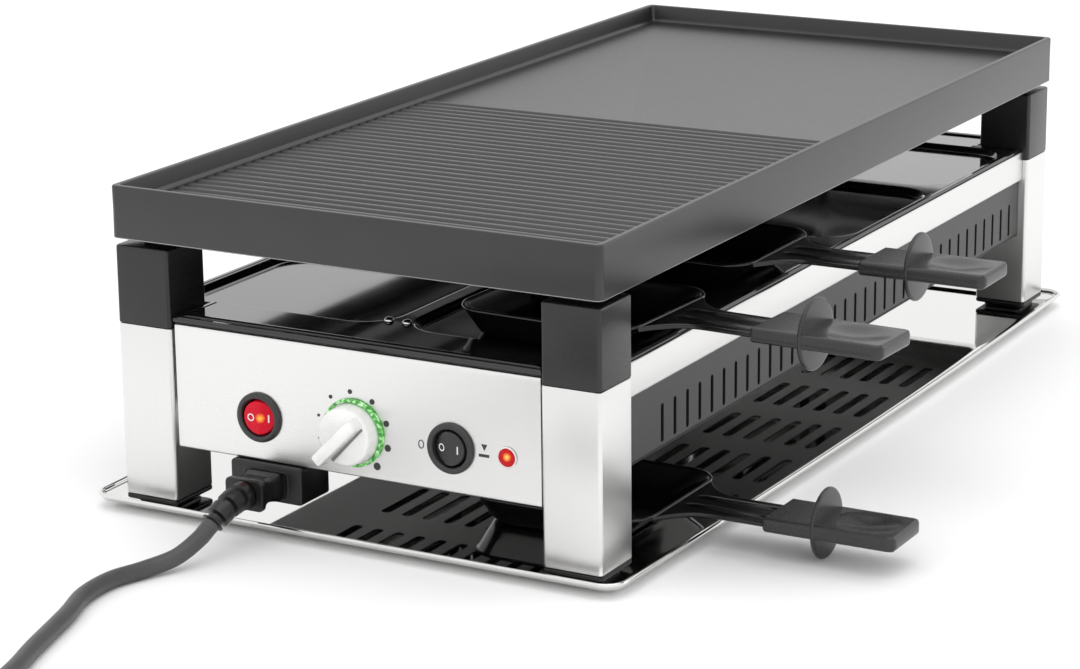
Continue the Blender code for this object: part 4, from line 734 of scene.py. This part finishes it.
def build_dial():
    """A dished disc with a raised grip bar pointing to the lower left."""
    face = at(0, PANEL_Y, CONTROL_Z)
    disc = [(0, 9.9), (12.2, 9.9), (12.9, 9.75), (13.5, 9.3), (13.85, 8.6), (14.0, 7.4), (14.6, 0.8),
            (0, 0.8)]
    knob = outward(lathe(disc, face, FRONT, 96))
    angle = math.radians(225.0)
    along = Vector((math.cos(angle), 0, math.sin(angle)))
    across = Vector((-math.sin(angle), 0, math.cos(angle)))

    def place(a, b, lift):
        return face + (along * a + across * b + Vector(FRONT) * lift) * MM

    rings = []
    for lift, shrink in ((7.0, 0.0), (10.0, 0.0), (14.0, 0.35), (15.6, 0.55), (16.4, 0.95), (16.75, 1.6)):
        half = 3.4 - shrink * 0.8
        head = 17.3 - shrink * 0.8
        tail = -13.2 + shrink * 2.2
        rings.append([place(a, b * half, lift) for a, b in (
            (head, -0.80), (head, 0.80), (head - 1.2, 1), (tail + 1.2, 0.96),
            (tail, 0.6), (tail, -0.6), (tail + 1.2, -0.96), (head - 1.2, -1))])
    join(knob, loft(rings))
    piece("dial", knob, knob_white, "knob", ("control_knob",), sharp=38, recalc=False, slot="white_plastic")
    # A grey strip on the disc along the grip bar's lower-right side: painted shade where the bar's side wall
    # falls in shadow
    line = [(12.4, 3.2), (12.4, 4.9), (-11.6, 4.3), (-11.6, 3.0)]
    painted_grip_shade = plate([line], 0.5, lambda a, b, c: place(a, b, 10.05 + c))
    piece("dial_grip_shade", painted_grip_shade, moulded("grip_shade_grey", 0.20, 0.4), "knob")
    shaft = [(0, 0.45), (2.8, 0.45), (3.0, 0.3), (3.0, -15.4), (2.7, -15.6), (0, -15.6)]
    piece("dial_shaft", lathe(shaft, face, FRONT, 32), brass, "knob", ("knob_spindle",), slot="brass")


def build_marks():
    """Dots that grow clockwise, a small 0, and an arrow over its bar."""
    orbit = 19.6
    dots = ((196, 0.55), (163, 0.75), (127, 0.98), (93, 1.18), (56, 1.36), (20, 1.54), (-15, 1.70),
            (-49, 1.86))
    for n, (degrees, radius) in enumerate(dots):
        a = math.radians(degrees)
        mark(f"dial_dot_{n}", [circle(orbit * math.cos(a) - 0.5, CONTROL_Z + orbit * math.sin(a), radius)])
    mark("off_mark", [[(36.6 + rx * a, 56.6 + rz * b) for a, b in circle(0, 0, 1)]
                      for rx, rz in ((1.55, 2.15), (1.1, 1.7))])
    mark("arrow_mark", [[(68.6, 61.3), (71.8, 61.3), (70.2, 58.2)]])
    mark("bar_mark", [[(67.3, 55.2), (72.7, 55.2), (72.7, 56.6), (67.3, 56.6)]])


def build_lamp():
    """The lamp in its pale collar."""
    spot = at(LAMP_X, PANEL_Y, CONTROL_Z)
    collar = [(4.3, 0.3), (5.0, 0.3), (5.0, 0.55), (4.8, 0.85), (4.6, 0.95), (4.4, 0.9), (4.3, 0.7)]
    piece("lamp_collar", lathe(collar, spot, FRONT, 56, closed=True), lamp_collar, "base")
    dome = [(4.3 * math.sin(a), 0.7 + 1.9 * math.cos(a)) for a in (0.25, 0.5, 0.75, 1.0, 1.25, 1.5)]
    dome = [(0, 2.6), *dome, (4.3, 0.3), (3.6, 0.3), (3.6, -15.8), (0, -15.8)]
    lamp_red = lit_lens("lamp_red", spot + Vector((0.0010, -0.0025, 0.0008)), 0.0024,
                        (1.0, 0.45, 0.08), (0.46, 0.004, 0.008), 0.50)
    piece("lamp_lens", lathe(dome, spot, FRONT, 48), lamp_red, "base",
          ("indicator_lamp",), sharp=50, slot="red_light")


# Pans: pressed pan with a rolled rim, flared stem, and the moulded handle with its guard
def pan_point(spot, turn):
    c, s = math.cos(turn), math.sin(turn)
    return lambda x, y, z: at(spot[0] + c * x - s * y, spot[1] + s * x + c * y, spot[2] + z)


def build_pan(name, spot, turn):
    body = f"pan_{name}"
    place = pan_point(spot, turn)
    top = 14.9
    build_dish(name, body, place)
    build_stem(name, body, place, top - 0.6)
    build_handle(name, body, place, top + 2.5, turn)


def build_dish(name, body, place):
    half_x, half_y = 48.0, 43.75

    def ring(share, inset, z):
        near, far = 6.0 * share + inset, 15.0 * share + inset
        corner = max(17.0 - near * 0.35, 7.0)
        pairs = ring2(half_x - (near + far) / 2, half_y - near, corner, ((near - far) / 2, 0), 12)
        return [place(x, y, z) for x, y in pairs]

    wall = ((1, 4.5, 0.0), (1, 3.2, 0.06), (1, 1.9, 0.45), (1, 0.9, 1.2), (1, 0.25, 2.2), (0.93, 0.0, 3.4),
            (0.14, 0.15, 12.3), (0.07, 0.25, 13.1), (0, 0.35, 13.6), (0, 0, 13.75), (0, 0, 14.3),
            (0, 0.25, 14.75), (0, 0.75, 14.9), (0, 1.25, 14.8), (0, 1.6, 14.5), (0.07, 1.45, 13.4),
            (0.93, 1.15, 4.2), (1, 1.5, 3.0), (1, 2.2, 2.1), (1, 3.3, 1.5), (1, 4.8, 1.22))
    rings = [ring(*row) for row in wall]
    piece(f"pan_dish_{name}", loft(rings), pan_skin, body, (body,), sharp=50, slot="pan_coating")


def build_stem(name, body, place, top):
    """The stem: flared at the rim, with two raised lines along it."""
    under = top - 2.4
    begin, length, samples = 47.3, 48.9, 30
    line_y, line_wide, line_high = 6.4, 1.6, 0.8
    rings = []
    for n in range(samples + 1):
        share = n / samples
        x = begin + share * length
        flare = max(0.0, 1 - share / 0.55)
        half = 14.0 + 17.0 * flare ** 2.6
        ring = []
        lines = min(1.0, max(0.0, (share - 0.10) / 0.08)) * min(1.0, max(0.0, (0.98 - share) / 0.03))
        outer = [9.6 + (half - 1.2 - 9.6) * k / 4 for k in (1, 2, 3, 4)] + [half - 0.8, half - 0.4, half]
        inner = [0.8 * k for k in range(-12, 13)]
        for y in [-y for y in reversed(outer)] + inner + outer:
            lift = line_high * math.exp(-((abs(y) - line_y) / line_wide) ** 2)
            edge = min(1.0, (half - abs(y)) / 0.8)
            side = 0.55 * (1 - edge) ** 2
            ring.append(place(x, y, top - side + lift * lines))
        for y, z in ((half, under + 0.5), (half - 0.5, under), (-half + 0.5, under), (-half, under + 0.5)):
            ring.append(place(x, y, z))
        rings.append(ring)
    piece(f"pan_stem_{name}", loft(rings), pan_skin, body, sharp=50, slot="pan_coating")
    tang = [[place(x, y, z) for y, z in ((-6, 11.9), (6, 11.9), (6, 14.3), (-6, 14.3))]
            for x in (95.9, 120.2)]
    piece(f"pan_tang_{name}", loft(tang), pan_skin, body, slot="pan_coating")


def build_handle(name, body, place, high, turn):
    """The handle, lofted along its length so that the thumb dish is part of its top."""
    start, length, half, thick, edge_r = 96.5, 65.5, 16.75, 7.0, 1.6
    dish_run, dish_long, dish_wide, dish_deep = 46.0, 18.5, 14.5, 1.9
    low = high - thick

    def section(run):
        end = min(run, length - run)
        r = 1.2 if run < length / 2 else 4.0
        shrink = r - math.sqrt(max(r * r - (r - min(end, r)) ** 2, 0.0))
        w = half - shrink
        drop = edge_r * max(0.0, 1 - end / 1.3) ** 2
        points = []
        across = 36
        for k in range(across + 1):
            y = -w + 2 * w * k / across
            edge = min(1.0, max(0.0, (w - abs(y)) / edge_r))
            fall = edge_r * (1 - math.sqrt(max(0.0, 1 - (1 - edge) ** 2)))
            u = ((run - dish_run) / dish_long) ** 2 + (y / dish_wide) ** 2
            dish = dish_deep * max(0.0, 1 - u) ** 1.8
            points.append((y, high - max(fall, drop) - dish))
        bottom = []
        for k in range(9):
            a = math.pi / 2 * k / 8
            inward, down = edge_r * (1 - math.cos(a)), math.sin(a)
            bottom.append((w - inward, low + edge_r * (1 - down) + drop * down))
        mirrored = [(-y, z) for y, z in reversed(bottom)]
        return [place(start + run, y, z) for y, z in points + bottom + mirrored]

    stops = [0.0, 0.15, 0.4, 0.8, 1.3, 1.9, 2.6, 3.3]
    middle = [4.0 + n * (length - 8.0) / 60 for n in range(61)]
    runs = stops + middle + [length - s for s in reversed(stops)]
    piece(f"grip_{name}", loft([section(run) for run in runs]), grip_plastic, body,
          (f"pan_handle_{name}",), sharp=60, slot="handle_plastic")
    rim = [(0, 1.1), (15.6, 1.1), (16.5, 0.95), (16.9, 0.55), (17.0, 0.0), (16.9, -0.55), (16.5, -0.95),
           (15.6, -1.1), (0, -1.1)]
    disc = lathe(rim, place(start + 25.0, 0, (high + low) / 2), (math.cos(turn), math.sin(turn), 0), 80)
    piece(f"guard_{name}", disc, grip_plastic, body, sharp=60, slot="handle_plastic")


# Inlet, connector and cord
INLET = (-48.5, PANEL_Y - 2.5, 25.3)


def ring_y(half_x, half_z, corner, y, centre):
    pairs = ring2(half_x, half_z, corner, steps=5)
    return [at(centre[0] + x, centre[1] + y, centre[2] + z) for x, z in pairs]


def build_inlet():
    low, high = 16.7, 35.1
    mid, half = (low + high) / 2, (high - low) / 2
    c = (INLET[0], INLET[1], mid)
    box = ((19.3, half - 0.7, 1.4, 0.0), (19.8, half - 0.2, 1.6, 0.25), (20.0, half, 1.8, 0.9),
           (20.0, half, 1.8, 23.4), (19.6, half - 0.4, 1.6, 24.0))
    rings = [ring_y(*row, c) for row in box]
    piece("inlet_box", loft(rings), dark_plastic, "base", ("inlet_housing",), sharp=40, slot="black_plastic")
    # A raised lip round the socket's mouth
    lip = ((12.8, 7.3, 2.6, 0.05), (12.8, 7.3, 2.6, -0.3), (12.5, 7.0, 2.4, -0.45),
           (11.3, 6.2, 2.2, -0.45), (11.0, 6.0, 2.0, -0.3), (11.0, 6.0, 2.0, 0.05))
    rings = [ring_y(*row, INLET) for row in lip]
    piece("inlet_lip", loft(rings, closed=True), dark_plastic, "base",
          ("inlet_socket",), slot="black_plastic")


def build_connector():
    c = INLET
    body = ((10.1, 5.3, 2.2, 13.4), (10.3, 5.5, 2.2, 12.8), (10.3, 5.5, 2.2, -0.5), (9.9, 6.6, 2.2, -0.9),
            (9.9, 7.0, 2.2, -2.2), (9.8, 6.9, 2.2, -3.4), (9.0, 6.1, 2.4, -6.6), (8.6, 5.8, 2.6, -9.4),
            (9.0, 6.2, 2.6, -12.4), (9.6, 6.8, 2.4, -14.8), (10.2, 7.4, 2.3, -15.8), (10.3, 7.5, 2.2, -16.4),
            (10.3, 7.5, 2.2, -18.6), (10.0, 7.2, 2.2, -19.2))
    shell = loft([ring_y(*row, c) for row in body])

    def ridge(high):
        return ((0, -0.45), (high, -0.35), (high, 0.35), (0, 0.45))

    for n in range(4):
        y = c[1] - 5.6 - n * 2.1
        for side in (-1, 1):
            foot = 8.0 - 0.1 * n
            join(shell, loft([[at(c[0] + side * (foot + a), y + b, c[2] + z) for a, b in ridge(1.1)]
                              for z in (-4.0, 4.0)]))
        join(shell, loft([[at(c[0] + x, y + b, c[2] + 5.2 + a) for a, b in ridge(1.0)] for x in (-5.6, 5.6)]))
    piece("connector_body", shell, connector_plastic, "cord", ("power_connector",),
          sharp=40, recalc=False, slot="black_plastic")
    start, aside, reach, drop = c[1] - 19.5, 2.6, 22.0, 7.6

    def spine(share):
        """Point and direction of the strain relief's bent middle line."""
        bend = share ** 2
        point = Vector((c[0] - aside * bend, start - reach * share, c[2] - drop * bend))
        line = Vector((-2 * aside * share, -reach, -2 * drop * share)).normalized()
        return point, line

    rings = []
    samples = 66
    for n in range(samples + 1):
        share = n / samples
        centre, line = spine(share)
        radius = 7.0 - 1.4 * share
        phase = (share * 3.0) % 1.0
        radius -= 1.8 * min(1.0, max(0.0, min(phase - 0.55, 0.95 - phase) / 0.07))
        if n in (0, samples):
            radius -= 0.5
        side = line.cross(Vector((0, 0, 1))).normalized()
        up = side.cross(line)
        rings.append([at(*(centre + side * a + up * b)) for a, b in circle(0, 0, radius, 40)])
    piece("relief_rings", loft(rings), connector_plastic, "cord",
          ("strain_relief",), sharp=40, slot="black_rubber")
    return spine(1.0)


CORD_D = 8.2
ROUTE = (
    (-57.5, -343.0, 6.6), (-65.0, -359.0, 4.2), (-70.3, -377.0, 4.2), (-68.6, -399.0, 4.2),
    (-60.0, -423.0, 4.2), (-48.8, -460.0, 4.2), (-40.6, -484.0, 4.2), (-35.2, -508.0, 4.2),
)


def coil_points():
    """Two layers of a flat coil: inward on the table, one step up, and outward again."""
    mean, turns, pitch, step = 46.0, 2.25, 9.4, 9.0
    middle, begin = (22.0, -568.0), math.radians(172.0)
    span_in = turns * pitch
    outer = mean + span_in / 2
    per = 48
    steps_in, steps_up = round(turns * per), per // 2
    total = 2 * steps_in + steps_up
    points = []
    for n in range(total + 1):
        if n <= steps_in:
            drawn, layer = n / per * pitch, 0.0
        elif n <= steps_in + steps_up:
            share = (n - steps_in) / steps_up
            drawn = span_in + 1.3 * math.sin(math.pi * share)
            layer = (1 - math.cos(math.pi * share)) / 2
        else:
            drawn, layer = (total - n) / per * pitch, 1.0
        angle = begin + math.tau * n / per
        radius = outer - drawn
        points.append(Vector((middle[0] + radius * math.cos(angle), middle[1] + radius * math.sin(angle),
                              CORD_D / 2 + layer * step)))
    return points


def smooth_path(points, samples):
    whole = [Vector(p) for p in points]
    path = [whole[0]]
    for n in range(1, len(whole) - 2):
        a, b, c, d = whole[n - 1:n + 3]
        for k in range(samples):
            t = k / samples
            path.append(0.5 * (2 * b + (c - a) * t + (2 * a - 5 * b + 4 * c - d) * t ** 2
                               + (3 * b - a - 3 * c + d) * t ** 3))
    path.extend(whole[-2:])
    return path


def build_cord(end, line):
    coil = coil_points()
    into = (coil[0] - coil[1]).normalized()
    first = coil[0] + into * CORD_D
    away = coil[-1] - coil[-2]
    away.z = 0
    away.normalize()
    tail_length, rise = 30.0, 5.5
    tail = [coil[-1] + away * tail_length * 0.4 + Vector((0, 0, rise * 0.2)),
            coil[-1] + away * tail_length * 0.75 + Vector((0, 0, rise * 0.8)),
            coil[-1] + away * tail_length + Vector((0, 0, rise)),
            coil[-1] + away * (tail_length + CORD_D) + Vector((0, 0, rise))]
    begin = end + line * 0.3
    leave = begin + line * CORD_D
    free = smooth_path([begin, leave, *ROUTE, first + into * CORD_D, first], 10)
    smooth_tail = smooth_path([coil[-2], coil[-1], *tail], 6)[2:]
    path = free + coil + smooth_tail
    world = [at(*p) for p in path]
    curve = bpy.data.curves.new("mains_cord", "CURVE")
    curve.dimensions = "3D"
    curve.bevel_depth = CORD_D / 2 * MM
    curve.bevel_resolution = 6
    curve.use_fill_caps = True
    spline = curve.splines.new("POLY")
    spline.points.add(len(world) - 1)
    for point, place in zip(spline.points, world):
        point.co = (*place, 1)
    spline.use_smooth = True
    cord = stand("mains_cord", curve)
    curve.materials.append(cord_plastic)
    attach(cord, "cord")
    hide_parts("power_cord", "cord_coil")
    length = sum((b - a).length for a, b in zip(world, world[1:]))

    # The mains plug at the cord's far end
    stop = path[-1] + away * 0.3
    face = 54.0
    rings = []
    across = Vector((-away.y, away.x, 0))
    for radius, run in ((4.6, 0.0), (5.4, 0.3), (5.9, 2.0), (5.4, 3.2), (6.2, 4.6), (5.7, 6.0), (6.6, 7.4),
                        (6.2, 9.0), (7.2, 12.0), (9.5, 15.5), (13.0, 19.5), (15.8, 24.0), (17.6, 29.0),
                        (18.4, 34.0), (18.5, 52.6), (18.1, 53.6), (17.2, face)):
        rings.append([at(*(stop + away * run + across * a + Vector((0, 0, max(b, 0.04 - stop.z)))))
                      for a, b in circle(0, 0, radius, 56)])
    pins = bmesh.new()
    for side in (-1, 1):
        base = stop + across * 9.5 * side
        for r, low, high in ((2.7, face - 1.0, face + 10.0), (2.35, face + 9.0, face + 18.2)):
            profile = [(0, high + 0.8), (r - 0.8, high + 0.75), (r, high), (r, low), (0, low)]
            join(pins, lathe(profile, at(*base), away, 24))
    plug = piece("plug_shell", loft(rings), cord_plastic, "cord",
                 ("mains_plug",), sharp=40, slot="black_plastic")
    pin_piece = piece("plug_pins", pins, mirror, "cord", recalc=False)
    tuple(world[0])


def dress(names, material):
    for name in names:
        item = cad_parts[name]
        if not item.material_slots:
            item.data.materials.append(material)
        for slot in item.material_slots:
            slot.material = material


# Camera, matched to the photograph, and the white stage
def build_camera():
    """Place, lens and tilt were fitted to the photograph."""
    data = bpy.data.cameras.new("camera")
    cam = stand("camera", data)
    focal, photo_width = 3144.8, 1080
    data.sensor_width = 36.0
    data.lens = focal / photo_width * data.sensor_width
    data.clip_start, data.clip_end = 0.05, 50.0
    az, el, roll = math.radians(29.268), math.radians(15.68), math.radians(-0.626)
    d = Vector((-math.sin(az) * math.cos(el), math.cos(az) * math.cos(el), -math.sin(el)))
    right = Vector((math.cos(az), math.sin(az), 0.0))
    up = right.cross(d)
    c, s = math.cos(roll), math.sin(roll)
    rotation = Matrix((right * c + up * s, up * c - right * s, -d)).transposed()
    cam.matrix_world = Matrix.Translation(at(758.7, -1453.9, 495.3)) @ rotation.to_4x4()
    bpy.context.scene.camera = cam


def build_stage():
    bm = bmesh.new()
    bmesh.ops.create_grid(bm, x_segments=1, y_segments=1, size=6.0)
    mesh = bpy.data.meshes.new("floor")
    bm.to_mesh(mesh)
    bm.free()
    floor = stand("floor", mesh)
    material, _, bsdf = shader("floor_white")
    fill(bsdf, Base_Color=(0.97, 0.97, 0.97, 1), Roughness=0.9, Specular_IOR_Level=0.0)
    mesh.materials.append(material)
    world = bpy.data.worlds.new("studio")
    bpy.context.scene.world = world
    world.use_nodes = True
    fill(world.node_tree.nodes["Background"], Color=(1.0, 1.0, 1.0, 1), Strength=1.10)

    def softbox(name, place, target, size, power):
        data = bpy.data.lights.new(name, "AREA")
        data.shape = "RECTANGLE"
        data.size, data.size_y = size
        data.energy = power
        light = stand(name, data)
        light.location = place
        light.rotation_euler = (Vector(target) - Vector(place)).to_track_quat("-Z", "Y").to_euler()

    softbox("top_box", (0.2, -0.2, 1.8), (0, 0, 0), (1.6, 1.6), 7.0)
    softbox("back_right_box", (1.9, 1.5, 0.9), (0, 0.1, 0.1), (1.2, 1.0), 5.5)


# The camera and the cord come first
build_camera()
build_cord(*build_connector())
build_inlet()
build_griddle()
build_legs()
build_tray()
build_panels()
build_grilles()
build_shelf()
build_switches()
build_dial_ring()
build_dial()
build_marks()
build_lamp()
for pan_name, pan_spot, pan_turn in (
        ("front", (78.123, -196.873, 97.1), math.radians(-2.5)),
        ("middle", (72.8, -68.8, 97.1), 0.0),
        ("parked", (79.2, -189.5, 3.3), 0.0)):
    build_pan(pan_name, pan_spot, pan_turn)
dress(["heating_element", "element_bracket_front", "element_bracket_rear"], heater_skin)
dress(["terminal_block", "thermostat"], clay)
build_stage()
bpy.context.scene.view_settings.view_transform = "Standard"
write_sizes()
